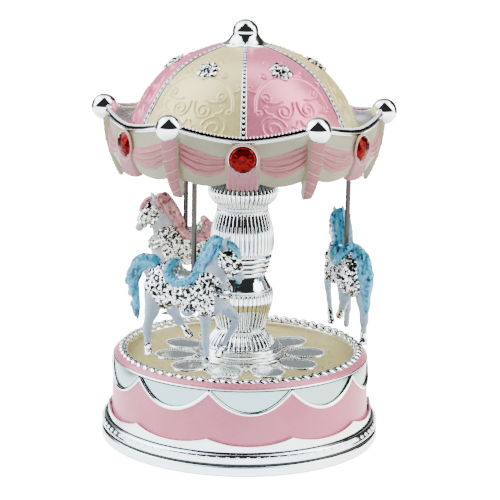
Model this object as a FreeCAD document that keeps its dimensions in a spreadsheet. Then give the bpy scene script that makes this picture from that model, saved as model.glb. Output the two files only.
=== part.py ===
import FreeCAD, Part
import Sketcher
import math
import os

# Carousel music box: a round drum holds a wind-up movement, a stepped column stands on the
# deck, and a domed canopy turns on the drive shaft with three horses sliding on steel rods.
# Millimetres, +Z up, origin at the bottom centre of the plinth, front towards -Y.

os.makedirs("parts", exist_ok=True)
V = FreeCAD.Vector
doc = FreeCAD.newDocument("carousel_music_box")
sheet = doc.addObject("Spreadsheet::Sheet", "Spec")
cells = {}


def dim(alias, value):
    """One driving dimension: a plain number in the sheet with an alias."""
    if alias in cells:
        raise RuntimeError("cell used twice: " + alias)
    cell = "B%d" % (len(cells) + 1)
    sheet.set(cell, "%.5f" % value if isinstance(value, float) else str(value))
    sheet.setAlias(cell, alias)
    cells[alias] = value
    return alias


def val(alias):
    return float(sheet.get(alias))


# ---------------------------------------------------------------- driving dimensions
dim("shaft_radius", 1.5)
dim("shaft_low", 23.95)
dim("shaft_top", 151.0)
dim("rod_radius", 1.0)
dim("rod_circle", 39.5)
dim("rod_low", 59.0)
dim("rod_top", 113.5)
dim("rod_angle_one", -115.5)
dim("rod_angle_two", 4.5)
dim("rod_angle_three", 124.5)
dim("ball_radius", 4.8)
dim("ball_circle", 51.6)
dim("ball_level", 125.4)
dim("canopy_sides", 6)
dim("panel_pairs", 3)
dim("canopy_half_step", 30.0)
dim("deck_petal_count", 10)
dim("swag_first", 6.0)
dim("rosette_first", 24.0)
dim("axle_level", 18.15)
dim("crown_pins", 40)
dim("crown_pin_circle", 15.5)
dim("pinion_teeth", 12)
dim("wheel_teeth", 28)
dim("fly_pinion_teeth", 10)
dim("fly_offset", 9.65)
doc.recompute()

nodes = []


def role(body, name):
    for f in body.Origin.OriginFeatures:
        if f.Role == name:
            return f
    raise RuntimeError(name)


def new_body(name):
    b = doc.addObject("PartDesign::Body", name)
    b.Label = name
    if hasattr(b, "AllowCompound"):
        b.AllowCompound = True
    nodes.append(b)
    return b


def sketch_on(body, name, plane, offset=0.0, alias=None):
    s = body.newObject("Sketcher::SketchObject", name)
    s.AttachmentSupport = (role(body, plane), [""])
    s.MapMode = "FlatFace"
    if offset or alias:
        s.AttachmentOffset = FreeCAD.Placement(V(0, 0, offset), FreeCAD.Rotation())
        if alias:
            s.setExpression("AttachmentOffset.Base.z", "Spec." + alias)
    return s


def outline(s, name, pts):
    """A closed outline of straight edges, every corner bound to two cells."""
    n = len(pts)
    first = s.GeometryCount
    for i in range(n):
        a, b = pts[i], pts[(i + 1) % n]
        s.addGeometry(Part.LineSegment(V(a[0], a[1], 0), V(b[0], b[1], 0)), False)
    for i in range(n):
        s.addConstraint(Sketcher.Constraint("Coincident", first + i, 2, first + (i + 1) % n, 1))
    for i, (x, y) in enumerate(pts):
        for k, c, axis, word in ((0, x, -2, "across"), (1, y, -1, "level")):
            if abs(c) < 1e-9:
                s.addConstraint(Sketcher.Constraint("PointOnObject", first + i, 1, axis))
                continue
            alias = dim("%s_%s_%d" % (name, word, i + 1), float(c))
            kind = "DistanceX" if k == 0 else "DistanceY"
            j = s.addConstraint(Sketcher.Constraint(kind, -1, 1, first + i, 1, float(c)))
            s.setExpression("Constraints[%d]" % j, "Spec." + alias)


def circles(s, name, items):
    """Circles, each with its centre and radius bound to cells."""
    for i, (x, y, r) in enumerate(items):
        g = s.addGeometry(Part.Circle(V(x, y, 0), V(0, 0, 1), r), False)
        for k, c, axis, word in ((0, x, -2, "across"), (1, y, -1, "along")):
            if abs(c) < 1e-9:
                s.addConstraint(Sketcher.Constraint("PointOnObject", g, 3, axis))
                continue
            alias = dim("%s_%s_%d" % (name, word, i + 1), float(c))
            j = s.addConstraint(Sketcher.Constraint("DistanceX" if k == 0 else "DistanceY", -1, 1, g, 3, float(c)))
            s.setExpression("Constraints[%d]" % j, "Spec." + alias)
        alias = dim("%s_radius_%d" % (name, i + 1), float(r))
        j = s.addConstraint(Sketcher.Constraint("Radius", g, float(r)))
        s.setExpression("Constraints[%d]" % j, "Spec." + alias)


def turned(name, pts, sweep=None, count=None, turn=None):
    """A piece turned about the vertical axis. sweep limits it to a sector, count repeats the sector."""
    b = new_body(name)
    s = sketch_on(b, name + "_profile", "XZ_Plane")
    outline(s, name, pts)
    r = b.newObject("PartDesign::Revolution", name + "_turning")
    r.Profile = s
    r.ReferenceAxis = (s, ["V_Axis"])
    r.Angle = 360.0
    if sweep:
        r.Angle = float(sweep)
        r.Midplane = True
        r.setExpression("Angle", "Spec." + dim(name + "_sector", float(sweep)))
    s.Visibility = False
    b.Tip = r
    if count:
        around(b, [r], name + "_ring", count)
    if turn:
        b.Placement = FreeCAD.Placement(V(0, 0, 0), FreeCAD.Rotation(V(0, 0, 1), cells[turn]))
        b.setExpression("Placement.Rotation.Angle", "Spec." + turn)
    return b


def around(b, feats, name, count):
    p = b.newObject("PartDesign::PolarPattern", name)
    p.Originals = feats
    p.Axis = (role(b, "Z_Axis"), [""])
    p.Angle = 360.0
    p.Occurrences = int(cells[count])
    p.setExpression("Occurrences", "Spec." + count)
    b.Tip = p
    return p


def pad(b, name, plane, length, offset=0.0, pts=None, rounds=None, down=False):
    s = sketch_on(b, name + "_sketch", plane, offset, dim(name + "_start", float(offset)) if offset else None)
    if pts:
        for k, loop in enumerate(pts):
            outline(s, "%s_%s" % (name, "abcdefgh"[k]), loop)
    if rounds:
        circles(s, name, rounds)
    f = b.newObject("PartDesign::Pad", name)
    f.Profile = s
    f.Length = float(length)
    f.setExpression("Length", "Spec." + dim(name + "_length", float(length)))
    f.Reversed = down
    b.Tip = f
    return f


def pocket(b, name, plane, length, offset=0.0, pts=None, rounds=None, up=False, both=False):
    """A cut, with its volume compared so that one that misses the solid is reported."""
    doc.recompute()
    before = b.Shape.Volume
    s = sketch_on(b, name + "_sketch", plane, offset, dim(name + "_start", float(offset)) if offset else None)
    if pts:
        for k, loop in enumerate(pts):
            outline(s, "%s_%s" % (name, "abcdefgh"[k]), loop)
    if rounds:
        circles(s, name, rounds)
    f = b.newObject("PartDesign::Pocket", name)
    f.Profile = s
    f.Length = float(length)
    f.setExpression("Length", "Spec." + dim(name + "_length", float(length)))
    f.Reversed = up
    if both:
        f.Midplane = True
    b.Tip = f
    doc.recompute()
    if b.Shape.isNull() or b.Shape.Volume > before - 1e-6:
        raise RuntimeError("cut removes nothing: " + name)
    return f


def cyl(name, radius, height, x=0.0, y=0.0, z=0.0, aliases=None):
    c = doc.addObject("Part::Cylinder", name)
    c.Radius, c.Height = radius, height
    c.setExpression("Radius", "Spec." + dim(name + "_radius", float(radius)))
    c.setExpression("Height", "Spec." + dim(name + "_height", float(height)))
    c.Placement = FreeCAD.Placement(V(x, y, z), FreeCAD.Rotation())
    c.setExpression("Placement.Base.z", "Spec." + dim(name + "_base", float(z)))
    return c


def group(name, items):
    c = doc.addObject("Part::Compound", name)
    c.Label = name
    c.Links = items
    nodes.append(c)
    return c


def shaped(name, shape):
    f = doc.addObject("Part::Feature", name)
    f.Label = name
    f.Shape = shape
    f.Placement = FreeCAD.Placement(V(0, 0, 0), FreeCAD.Rotation())
    nodes.append(f)
    return f


def screws(name, places, head_radius, head_height, shank_radius, shank_length, head_low, up):
    """Pan-head screws with vertical shanks. up: the shank points up from the head."""
    for key, v in (("head_radius", head_radius), ("head_height", head_height), ("shank_radius", shank_radius), ("shank_length", shank_length), ("head_low", head_low)):
        dim("%s_%s" % (name, key), float(v))
    items = []
    for i, (x, y) in enumerate(places):
        h = doc.addObject("Part::Cylinder", "%s_head_%d" % (name, i + 1))
        k = doc.addObject("Part::Cylinder", "%s_shank_%d" % (name, i + 1))
        h.setExpression("Radius", "Spec.%s_head_radius" % name)
        h.setExpression("Height", "Spec.%s_head_height" % name)
        k.setExpression("Radius", "Spec.%s_shank_radius" % name)
        k.setExpression("Height", "Spec.%s_shank_length" % name)
        h.Placement = FreeCAD.Placement(V(x, y, head_low), FreeCAD.Rotation())
        k.Placement = FreeCAD.Placement(V(x, y, head_low), FreeCAD.Rotation())
        h.setExpression("Placement.Base.z", "Spec.%s_head_low" % name)
        if up:
            k.setExpression("Placement.Base.z", "Spec.%s_head_low + Spec.%s_head_height" % (name, name))
        else:
            k.setExpression("Placement.Base.z", "Spec.%s_head_low - Spec.%s_shank_length" % (name, name))
        f = doc.addObject("Part::MultiFuse", "%s_%d" % (name, i + 1))
        f.Shapes = [h, k]
        items.append(f)
    return group(name, items)


def polar(radius, degrees):
    a = math.radians(degrees)
    return radius * math.cos(a), radius * math.sin(a)


# ---------------------------------------------------------------- base
plinth = turned("plinth", [(46.5, 0), (52.3, 0), (52.5, 0.4), (52.5, 3.7), (51.9, 4.05), (52.4, 4.5), (52.5, 5.4), (51.95, 6.9), (51.4, 7.7), (51.3, 8.0), (49.75, 11.8), (49.45, 12.0), (49.45, 10.0), (46.0, 10.0), (46.0, 7.5), (41.0, 6.0), (41.0, 3.05), (46.5, 3.05)])
screw_ring = [polar(43.2, 45 + 90 * i) for i in range(4)]
pocket(plinth, "plinth_pilots", "XY_Plane", 2.6, 3.0, rounds=[(x, y, 1.02) for x, y in screw_ring], up=True)

drum = turned("drum_shell", [(47.3, 10.05), (49.3, 10.05), (48.6, 30.4), (48.85, 30.55), (48.85, 31.3), (48.55, 31.4), (46.35, 32.9), (46.1, 32.9), (46.1, 28.0), (44.5, 28.0), (46.9, 25.4), (47.3, 25.0)])

base_plate = turned("base_plate", [(2.35, 8.4), (16.0, 8.4), (16.0, 1.2), (46.3, 1.2), (46.3, 3.0), (17.2, 3.0), (17.2, 9.6), (2.35, 9.6)])
pillars = [(-14.0, -17.0), (-14.0, 15.8), (33.4, -17.0), (33.4, 15.8)]
pocket(base_plate, "base_plate_holes", "XY_Plane", 2.4, 1.0, rounds=[(x, y, 1.3) for x, y in screw_ring] + [(x, y, 1.3) for x, y in pillars], up=True)
pocket(base_plate, "sound_holes", "XY_Plane", 2.4, 1.0, rounds=[(polar(28, 180 + 22 * (i - 2))[0], polar(28, 180 + 22 * (i - 2))[1], 1.6) for i in range(5)], up=True)
screws("base_screws", screw_ring, 2.2, 0.75, 0.95, 4.2, 0.4, True)
screws("bedplate_screws", pillars, 2.2, 0.75, 0.95, 5.4, 0.4, True)

# ---------------------------------------------------------------- deck
turned("deck", [(2.6, 28.05), (46.0, 28.05), (46.0, 30.0), (2.6, 30.0)])
turned("deck_rim", [(43.0, 30.05), (46.0, 30.05), (46.0, 32.4), (45.5, 33.2), (44.5, 33.5), (43.5, 33.2), (43.0, 32.4)])
petals = new_body("deck_petals")
ps = sketch_on(petals, "petal_sketch", "XY_Plane", 30.05, dim("petal_start", 30.05))
dim("petal_half_long", 7.2)
dim("petal_half_wide", 6.1)
dim("petal_middle", 24.8)
half_long, half_wide, middle = cells["petal_half_long"], cells["petal_half_wide"], cells["petal_middle"]
g = ps.addGeometry(Part.Ellipse(V(middle + half_long, 0, 0), V(middle, half_wide, 0), V(middle, 0, 0)), False)
ps.exposeInternalGeometry(g)
ps.addConstraint(Sketcher.Constraint("PointOnObject", g, 3, -1))
j = ps.addConstraint(Sketcher.Constraint("DistanceX", -1, 1, g, 3, middle))
ps.setExpression("Constraints[%d]" % j, "Spec.petal_middle")
pp = petals.newObject("PartDesign::Pad", "petal_pad")
pp.Profile = ps
pp.Length = 0.6
pp.setExpression("Length", "Spec." + dim("petal_thick", 0.6))
petals.Tip = pp
around(petals, [pp], "petal_ring", "deck_petal_count")
petals.Placement = FreeCAD.Placement(V(0, 0, 0), FreeCAD.Rotation(V(0, 0, 1), cells["swag_first"]))
petals.setExpression("Placement.Rotation.Angle", "Spec.swag_first")

ros = new_body("deck_rosettes")
rp = pad(ros, "rosette", "XY_Plane", 0.8, 30.05, rounds=[(20.5, 0.0, 1.15)])
around(ros, [rp], "rosette_ring", "deck_petal_count")
ros.Placement = FreeCAD.Placement(V(0, 0, 0), FreeCAD.Rotation(V(0, 0, 1), cells["rosette_first"]))
ros.setExpression("Placement.Rotation.Angle", "Spec.rosette_first")
turned("deck_bearing", [(1.56, 26.7), (5.0, 26.7), (5.0, 28.0), (2.5, 28.0), (2.5, 30.0), (1.56, 30.0)])

# ---------------------------------------------------------------- movement
bed = new_body("bedplate")
pad(bed, "bed_plate", "XY_Plane", 2.0, 10.2, pts=[[(-17.5, -20.5), (41.0, -20.5), (41.0, 18.5), (-17.5, 18.5)], [(19.8, -8.3), (38.3, -8.3), (38.3, 14.2), (19.8, 14.2)]])
pad(bed, "bed_post_inner", "XY_Plane", 9.0, 12.0, pts=[[(17.3, -3.0), (19.3, -3.0), (19.3, 3.0), (17.3, 3.0)]])
pad(bed, "bed_post_outer", "XY_Plane", 9.0, 12.0, pts=[[(38.6, -3.0), (40.6, -3.0), (40.6, 12.2), (38.6, 12.2)]])
pad(bed, "bed_arm", "XY_Plane", 9.0, 12.0, pts=[[(26.0, 7.6), (27.6, 7.6), (27.6, 17.5), (26.0, 17.5)]])
pad(bed, "bed_comb_seat", "XY_Plane", 5.8, 12.0, pts=[[(20.0, -20.0), (36.2, -20.0), (36.2, -13.6), (20.0, -13.6)]])
pad(bed, "bed_pillars", "XY_Plane", 7.3, 10.4, rounds=[(x, y, 2.7) for x, y in pillars], down=True)
pocket(bed, "bed_centre", "XY_Plane", 4.0, 9.8, rounds=[(0.0, 0.0, 2.35)], up=True)
pocket(bed, "bed_pilots", "XY_Plane", 4.6, 3.0, rounds=[(x, y, 1.02) for x, y in pillars], up=True)
pocket(bed, "bed_axle_bores", "YZ_Plane", 100.0, rounds=[(0.0, 18.15, 1.05), (9.65, 18.15, 0.65)], both=True)
comb_places = [(23.5, -17.2), (32.7, -17.2)]
pocket(bed, "bed_comb_pilots", "XY_Plane", 3.6, 14.4, rounds=[(x, y, 0.8) for x, y in comb_places], up=True)

comb = new_body("comb")
pad(comb, "comb_blank", "XY_Plane", 0.6, 17.85, pts=[[(20.1, -19.5), (36.1, -19.5), (36.1, -6.8), (20.1, -6.8)]])
doc.recompute()
slot = pocket(comb, "comb_slot", "XY_Plane", 1.2, 17.6, pts=[[(20.98, -15.6), (21.22, -15.6), (21.22, -6.2), (20.98, -6.2)]], up=True)
lp = comb.newObject("PartDesign::LinearPattern", "comb_slots")
lp.Originals = [slot]
lp.Direction = (role(comb, "X_Axis"), [""])
lp.Length = 14.0
lp.Occurrences = 15
lp.setExpression("Length", "Spec." + dim("comb_slot_span", 14.0))
lp.setExpression("Occurrences", "Spec." + dim("comb_slot_count", 15))
comb.Tip = lp
pocket(comb, "comb_holes", "XY_Plane", 1.2, 17.6, rounds=[(x, y, 0.85) for x, y in comb_places], up=True)
screws("comb_screws", comb_places, 1.5, 0.9, 0.7, 3.4, 18.5, False)

turned("winding_arbor", [(0, 2.0), (2.25, 2.0), (2.25, 23.0), (0, 23.0)])
key = new_body("winding_key")
pad(key, "key_wings", "XZ_Plane", 2.0, -1.0, pts=[[(-12.6, 2.6), (-11.2, 1.2), (-5.2, 1.2), (-4.0, 2.4), (4.0, 2.4), (5.2, 1.2), (11.2, 1.2), (12.6, 2.6), (12.6, 5.4), (11.2, 6.9), (5.0, 6.9), (3.6, 7.6), (-3.6, 7.6), (-5.0, 6.9), (-11.2, 6.9), (-12.6, 5.4)]])
doc.recompute()
pad(key, "key_boss", "XY_Plane", 6.2, 1.7, rounds=[(0.0, 0.0, 3.3)])
pocket(key, "key_bore", "XY_Plane", 8.0, 1.9, rounds=[(0.0, 0.0, 2.3)], up=True)
pocket(key, "key_finger_holes", "XZ_Plane", 8.0, rounds=[(-8.4, 4.05, 1.7), (8.4, 4.05, 1.7)], both=True)

turned("spring_barrel", [(2.35, 13.0), (11.0, 13.0), (11.0, 24.3), (1.55, 24.3), (1.55, 23.5), (10.2, 23.5), (10.2, 13.8), (2.35, 13.8)])
# Mainspring: a flat strip wound in a spiral between the arbor and the barrel wall.
outer_side, inner_side = [], []
steps = 6 * 24
for i in range(steps + 1):
    a = 2 * math.pi * i / 24.0
    r = 3.2 + (9.6 - 3.2) * i / steps
    outer_side.append(V((r + 0.25) * math.cos(a), (r + 0.25) * math.sin(a), 14.6))
    inner_side.append(V((r - 0.05) * math.cos(a), (r - 0.05) * math.sin(a), 14.6))
loop = outer_side + inner_side[::-1]
dim("mainspring_width", 8.0)
doc.recompute()
spring = Part.Face(Part.makePolygon(loop + [loop[0]])).extrude(V(0, 0, val("mainspring_width")))
shaped("mainspring", spring)

crown = turned("crown_wheel", [(1.55, 24.45), (17.3, 24.45), (17.3, 25.5), (1.55, 25.5)])
cp = pad(crown, "crown_pin", "XY_Plane", 2.2, 24.6, rounds=[(15.5, 0.0, 0.4)], down=True)
doc.recompute()
around(crown, [cp], "crown_pin_ring", "crown_pins")

shaft = new_body("drive_shaft")
pad(shaft, "drive_shaft_rod", "XY_Plane", 127.0, 23.95, rounds=[(0.0, 0.0, 1.5)])


def pinned_gear(teeth, root_radius, tip_radius, root_half, tip_half, x_low, x_high, bore, y, z, turn=0.0):
    """A gear about an X axis, its teeth tapering from root_half to tip_half."""
    pts = []
    for k in range(int(teeth)):
        a = 2 * math.pi * k / teeth + math.radians(turn)
        u, w = (math.cos(a), math.sin(a)), (-math.sin(a), math.cos(a))
        low = math.sqrt(root_radius ** 2 - root_half ** 2)
        for rad, half in ((low, -root_half), (tip_radius, -tip_half), (tip_radius, tip_half), (low, root_half)):
            pts.append(V(x_low, y + rad * u[0] + half * w[0], z + rad * u[1] + half * w[1]))
    face = Part.Face(Part.makePolygon(pts + [pts[0]]))
    solid = face.extrude(V(x_high - x_low, 0, 0))
    hole = Part.makeCylinder(bore, x_high - x_low + 2, V(x_low - 1, y, z), V(1, 0, 0))
    return solid.cut(hole)


def involute_gear(teeth, module, thin, x_low, x_high, bore, y, z, turn):
    """A spur gear about an X axis with 20 degree involute flanks."""
    pitch = module * teeth / 2.0
    base = pitch * math.cos(math.radians(20))
    tip = pitch + module * 0.95
    root = pitch - module * 1.25
    inv = math.tan(math.radians(20)) - math.radians(20)
    half = math.pi / (2 * teeth) - thin / (2 * pitch)
    flank = []
    start = max(root, base)
    for i in range(7):
        r = start + (tip - start) * i / 6.0
        ang = math.acos(min(1.0, base / r))
        flank.append((r, half + inv - (math.tan(ang) - ang)))
    if root < base:
        flank.insert(0, (root, flank[0][1]))
    pts = []
    for k in range(int(teeth)):
        a = 2 * math.pi * k / teeth + math.radians(turn)
        for r, d in flank:
            pts.append((r, a - d))
        for r, d in flank[::-1]:
            pts.append((r, a + d))
    ring = [V(x_low, y + r * math.cos(t), z + r * math.sin(t)) for r, t in pts]
    face = Part.Face(Part.makePolygon(ring + [ring[0]]))
    solid = face.extrude(V(x_high - x_low, 0, 0))
    hole = Part.makeCylinder(bore, x_high - x_low + 2, V(x_low - 1, y, z), V(1, 0, 0))
    return solid.cut(hole)


level = val("axle_level")
dim("pinion_root", 3.6)
dim("pinion_tip", 5.35)
dim("gear_module", 0.5)
dim("cylinder_radius", 6.0)
dim("cylinder_pin_height", 0.4)
doc.recompute()
shaped("cylinder_pinion", pinned_gear(val("pinion_teeth"), val("pinion_root"), val("pinion_tip"), 0.55, 0.28, 14.4, 16.6, 1.01, 0.0, level, 15.0))
shaped("governor_gear", involute_gear(val("wheel_teeth"), val("gear_module"), 0.12, 36.3, 37.9, 1.01, 0.0, level, 0.0))
axle = new_body("cylinder_axle")
pad(axle, "cylinder_axle_rod", "YZ_Plane", 27.3, 13.6, rounds=[(0.0, 18.15, 1.0)])
# Pinned cylinder: a drum with tune pins in sixteen rows, one row for each tooth of the comb.
cylinder = Part.makeCylinder(val("cylinder_radius"), 16.2, V(19.8, 0, level), V(1, 0, 0))
cylinder = cylinder.cut(Part.makeCylinder(1.01, 20, V(18, 0, level), V(1, 0, 0)))
tune = []
for row in range(16):
    for beat in range(3):
        a = math.radians((row * 67 + beat * 131 + (row * row * 13) % 29) % 360)
        d = V(0, math.cos(a), math.sin(a))
        tune.append(Part.makeCylinder(0.16, 1.0, V(20.6 + row, 0, level) + d * (val("cylinder_radius") - 0.6), d))
cylinder = cylinder.fuse(tune)
shaped("music_cylinder", cylinder)

gy = val("fly_offset")
gear_turn = 180.0 + 180.0 / val("fly_pinion_teeth")
shaped("governor_pinion", involute_gear(val("fly_pinion_teeth"), val("gear_module"), 0.12, 36.3, 37.9, 0.61, gy, level, gear_turn))
garbor = new_body("governor_arbor")
pad(garbor, "governor_arbor_rod", "YZ_Plane", 16.2, 24.9, rounds=[(9.65, 18.15, 0.6)])
fly_hub = Part.makeCylinder(1.3, 6.0, V(28.6, gy, level), V(1, 0, 0))
blade = Part.makeBox(5.0, 5.6, 0.4, V(29.1, gy - 2.8, level - 0.2))
fly = fly_hub.fuse(blade).cut(Part.makeCylinder(0.61, 10, V(27, gy, level), V(1, 0, 0)))
shaped("governor_fly", fly)

# ---------------------------------------------------------------- column
turned("column_foot", [(2.2, 30.05), (17.0, 30.05), (17.2, 30.7), (16.6, 31.5), (15.8, 31.9), (15.9, 33.6), (15.3, 34.5), (12.4, 35.4), (10.6, 37.2), (9.4, 39.4), (9.0, 40.5), (2.2, 40.5)])
turned("lower_urn", [(2.2, 40.55), (9.0, 40.55), (9.7, 43.5), (10.9, 47.5), (11.9, 51.0), (12.1, 52.8), (12.1, 54.6), (11.7, 56.2), (2.2, 56.2)])
turned("middle_spindle", [(2.2, 56.25), (11.4, 56.25), (11.3, 57.1), (10.2, 59.0), (9.2, 60.8), (8.8, 62.0), (9.2, 63.0), (10.2, 64.3), (9.6, 65.3), (10.6, 66.9), (9.8, 68.2), (11.2, 69.2), (11.6, 70.0), (2.2, 70.0)])
turned("upper_urn", [(2.2, 70.05), (11.5, 70.05), (11.7, 73.0), (11.9, 76.0), (11.9, 78.6), (11.2, 82.0), (10.2, 85.0), (9.5, 86.9), (2.2, 86.9)])
turned("column_capital", [(2.2, 86.95), (9.3, 86.95), (9.2, 87.7), (10.2, 89.2), (11.6, 90.8), (12.4, 91.8), (13.0, 93.8), (13.2, 95.5), (13.0, 97.0), (11.6, 98.4), (5.0, 98.4), (5.0, 95.3), (2.2, 95.3)])
turned("top_bearing", [(1.56, 95.35), (4.95, 95.35), (4.95, 99.0), (1.56, 99.0)])

# ---------------------------------------------------------------- canopy
hub = turned("shaft_hub", [(1.52, 99.4), (7.5, 99.4), (7.5, 103.4), (13.5, 104.0), (13.5, 105.9), (1.52, 105.9)])
hub_screws = [polar(10.4, 90 + 120 * i) for i in range(3)]
pocket(hub, "hub_pilots", "XY_Plane", 3.0, 103.5, rounds=[(x, y, 0.8) for x, y in hub_screws], up=True)
floor = turned("canopy_floor", [(1.55, 105.95), (45.5, 105.95), (45.5, 107.6), (1.55, 107.6)])
rods_at = [polar(cells["rod_circle"], cells[a]) for a in ("rod_angle_one", "rod_angle_two", "rod_angle_three")]
pocket(floor, "floor_bush_holes", "XY_Plane", 3.0, 105.5, rounds=[(x, y, 2.55) for x, y in rods_at], up=True)
pocket(floor, "floor_screw_holes", "XY_Plane", 3.0, 105.5, rounds=[(x, y, 0.9) for x, y in hub_screws], up=True)
screws("canopy_screws", hub_screws, 1.7, 1.0, 0.75, 3.4, 107.65, False)

bushes = new_body("guide_bushes")
pad(bushes, "bush_barrels", "XY_Plane", 3.5, 104.6, rounds=[(x, y, 2.5) for x, y in rods_at])
doc.recompute()
pad(bushes, "bush_flanges", "XY_Plane", 0.95, 107.65, rounds=[(x, y, 3.6) for x, y in rods_at])
pocket(bushes, "bush_bores", "XY_Plane", 6.0, 104.0, rounds=[(x, y, 1.06) for x, y in rods_at], up=True)

turned("canopy_skirt", [(45.6, 104.6), (46.6, 104.6), (48.0, 107.8), (49.2, 112.7), (50.0, 118.4), (50.0, 119.5), (48.5, 119.5), (48.4, 118.4), (47.6, 113.0), (46.6, 109.2), (44.0, 109.0), (44.0, 107.7), (45.6, 107.7)])
turned("skirt_tails", [(46.65, 104.6), (48.05, 107.8), (49.25, 112.7), (50.05, 118.4), (50.05, 119.4), (52.7, 119.4), (51.8, 112.7), (50.5, 107.8), (48.4, 103.0), (46.5, 99.2), (44.6, 99.2), (45.5, 102.0)], sweep=6.3, count="canopy_sides")
turned("skirt_drapes", [(46.65, 104.6), (48.05, 107.8), (49.25, 112.7), (49.6, 115.5), (50.35, 115.5), (50.0, 112.6), (48.8, 107.6), (47.4, 103.6), (46.2, 103.6)], sweep=13.0, count="canopy_sides", turn="canopy_half_step")

stones, rings = [], []
for i in range(6):
    a = 30.0 + 60.0 * i
    x, y = polar(1.0, a)
    tilt = FreeCAD.Rotation(V(0, 0, 1), V(x, y, 0))
    low = doc.addObject("Part::Cylinder", "stone_girdle_%d" % (i + 1))
    top = doc.addObject("Part::Cone", "stone_crown_%d" % (i + 1))
    if i == 0:
        dim("stone_radius", 4.75)
        dim("stone_girdle", 0.8)
        dim("stone_crown", 1.0)
        dim("stone_table", 2.9)
        dim("bezel_outer", 5.5)
        dim("bezel_inner", 4.8)
        dim("bezel_depth", 1.2)
    low.setExpression("Radius", "Spec.stone_radius")
    low.setExpression("Height", "Spec.stone_girdle")
    top.setExpression("Radius1", "Spec.stone_radius")
    top.setExpression("Radius2", "Spec.stone_table")
    top.setExpression("Height", "Spec.stone_crown")
    low.Placement = FreeCAD.Placement(V(x * 50.45, y * 50.45, 114.6), tilt)
    top.Placement = FreeCAD.Placement(V(x * 51.25, y * 51.25, 114.6), tilt)
    f = doc.addObject("Part::MultiFuse", "stone_%d" % (i + 1))
    f.Shapes = [low, top]
    stones.append(f)
    out = doc.addObject("Part::Cylinder", "bezel_outside_%d" % (i + 1))
    inn = doc.addObject("Part::Cylinder", "bezel_inside_%d" % (i + 1))
    out.setExpression("Radius", "Spec.bezel_outer")
    out.setExpression("Height", "Spec.bezel_depth")
    inn.setExpression("Radius", "Spec.bezel_inner")
    inn.setExpression("Height", "Spec.bezel_depth * 2")
    out.Placement = FreeCAD.Placement(V(x * 50.4, y * 50.4, 114.6), tilt)
    inn.Placement = FreeCAD.Placement(V(x * 49.9, y * 49.9, 114.6), tilt)
    c = doc.addObject("Part::Cut", "bezel_%d" % (i + 1))
    c.Base, c.Tool = out, inn
    rings.append(c)
group("jewels", stones)
group("jewel_bezels", rings)

turned("gutter_ring", [(42.6, 117.4), (46.8, 119.5), (46.8, 120.7), (42.6, 118.6)])
turned("rim_moulding", [(46.9, 119.55), (49.9, 119.55), (49.9, 120.2), (51.3, 120.25), (51.3, 120.5), (47.6, 121.1), (46.9, 120.9)])
balls = []
for i in range(6):
    a = 60.0 * i
    x, y = polar(1.0, a)
    b = doc.addObject("Part::Sphere", "ball_%d" % (i + 1))
    b.setExpression("Radius", "Spec.ball_radius")
    b.setExpression("Placement.Base.x", "Spec.ball_circle * cos(%d)" % int(a))
    b.setExpression("Placement.Base.y", "Spec.ball_circle * sin(%d)" % int(a))
    b.setExpression("Placement.Base.z", "Spec.ball_level")
    balls.append(b)
group("rim_balls", balls)

outer = [(8.1, 148.35), (13.3, 146.9), (17.4, 145.5), (21.1, 143.9), (28.5, 139.3), (35.0, 132.2), (38.8, 125.9), (41.9, 119.8), (42.5, 118.7)]
inner = [(41.0, 118.7), (40.4, 119.2), (37.5, 125.2), (33.8, 131.4), (27.6, 138.1), (20.5, 142.5), (16.9, 144.1), (12.9, 145.5), (8.1, 146.9)]
turned("dome_panels_cream", outer + inner, sweep=59.4, count="panel_pairs")
b = turned("dome_panels_pink", outer + inner, sweep=59.4, count="panel_pairs")
b.Placement = FreeCAD.Placement(V(0, 0, 0), FreeCAD.Rotation(V(0, 0, 1), 60))
b.setExpression("Placement.Rotation.Angle", "Spec.canopy_half_step * 2")
turned("dome_cap", [(1.55, 141.5), (5.0, 141.5), (5.0, 145.6), (8.0, 145.6), (8.0, 148.35), (1.55, 148.35)])
rib_low = [(8.3, 148.42), (13.36, 147.0), (17.46, 145.6), (21.18, 144.0), (28.6, 139.4), (35.1, 132.28), (38.9, 125.96), (42.0, 119.86), (42.2, 119.4)]
rib_top = [(42.9, 119.4), (42.8, 119.9), (39.6, 126.4), (35.7, 132.9), (29.1, 140.1), (21.5, 144.8), (17.7, 146.4), (13.6, 147.8), (8.4, 149.2)]
turned("dome_ribs", rib_low + rib_top, sweep=2.6, count="canopy_sides", turn="canopy_half_step")
emblems = []
dim("emblem_radius", 3.9)
dim("emblem_thick", 0.8)
for i in range(6):
    x, y = polar(1.0, 60.0 * i)
    nrm = V(x * 4.6, y * 4.6, 7.4)
    nrm.normalize()
    e = doc.addObject("Part::Cylinder", "emblem_%d" % (i + 1))
    e.setExpression("Radius", "Spec.emblem_radius")
    e.setExpression("Height", "Spec.emblem_thick")
    e.Placement = FreeCAD.Placement(V(x * 24.8, y * 24.8, 141.6) + nrm * 0.12, FreeCAD.Rotation(V(0, 0, 1), nrm))
    emblems.append(e)
group("dome_emblems", emblems)
turned("finial", [(1.55, 148.42), (7.9, 148.42), (7.0, 149.3), (5.7, 150.4), (5.0, 151.6), (5.0, 153.8), (4.4, 155.4), (3.2, 156.7), (1.7, 157.5), (0, 157.7), (0, 151.1), (1.55, 151.1)])

# ---------------------------------------------------------------- horses
# One mould for all three: x is forward from the pole, y to the horse's left, z as in the whole part.
pieces = []


def lump(name, centre, radii, pitch=0.0):
    e = doc.addObject("Part::Ellipsoid", "horse_" + name)
    for prop, word, v in (("Radius1", "high", radii[2]), ("Radius2", "fore", radii[0]), ("Radius3", "side", radii[1])):
        setattr(e, prop, v)
        e.setExpression(prop, "Spec." + dim("horse_%s_%s" % (name, word), float(v)))
    e.Placement = FreeCAD.Placement(V(*centre), FreeCAD.Rotation(V(0, 1, 0), pitch))
    pieces.append(e)


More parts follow.
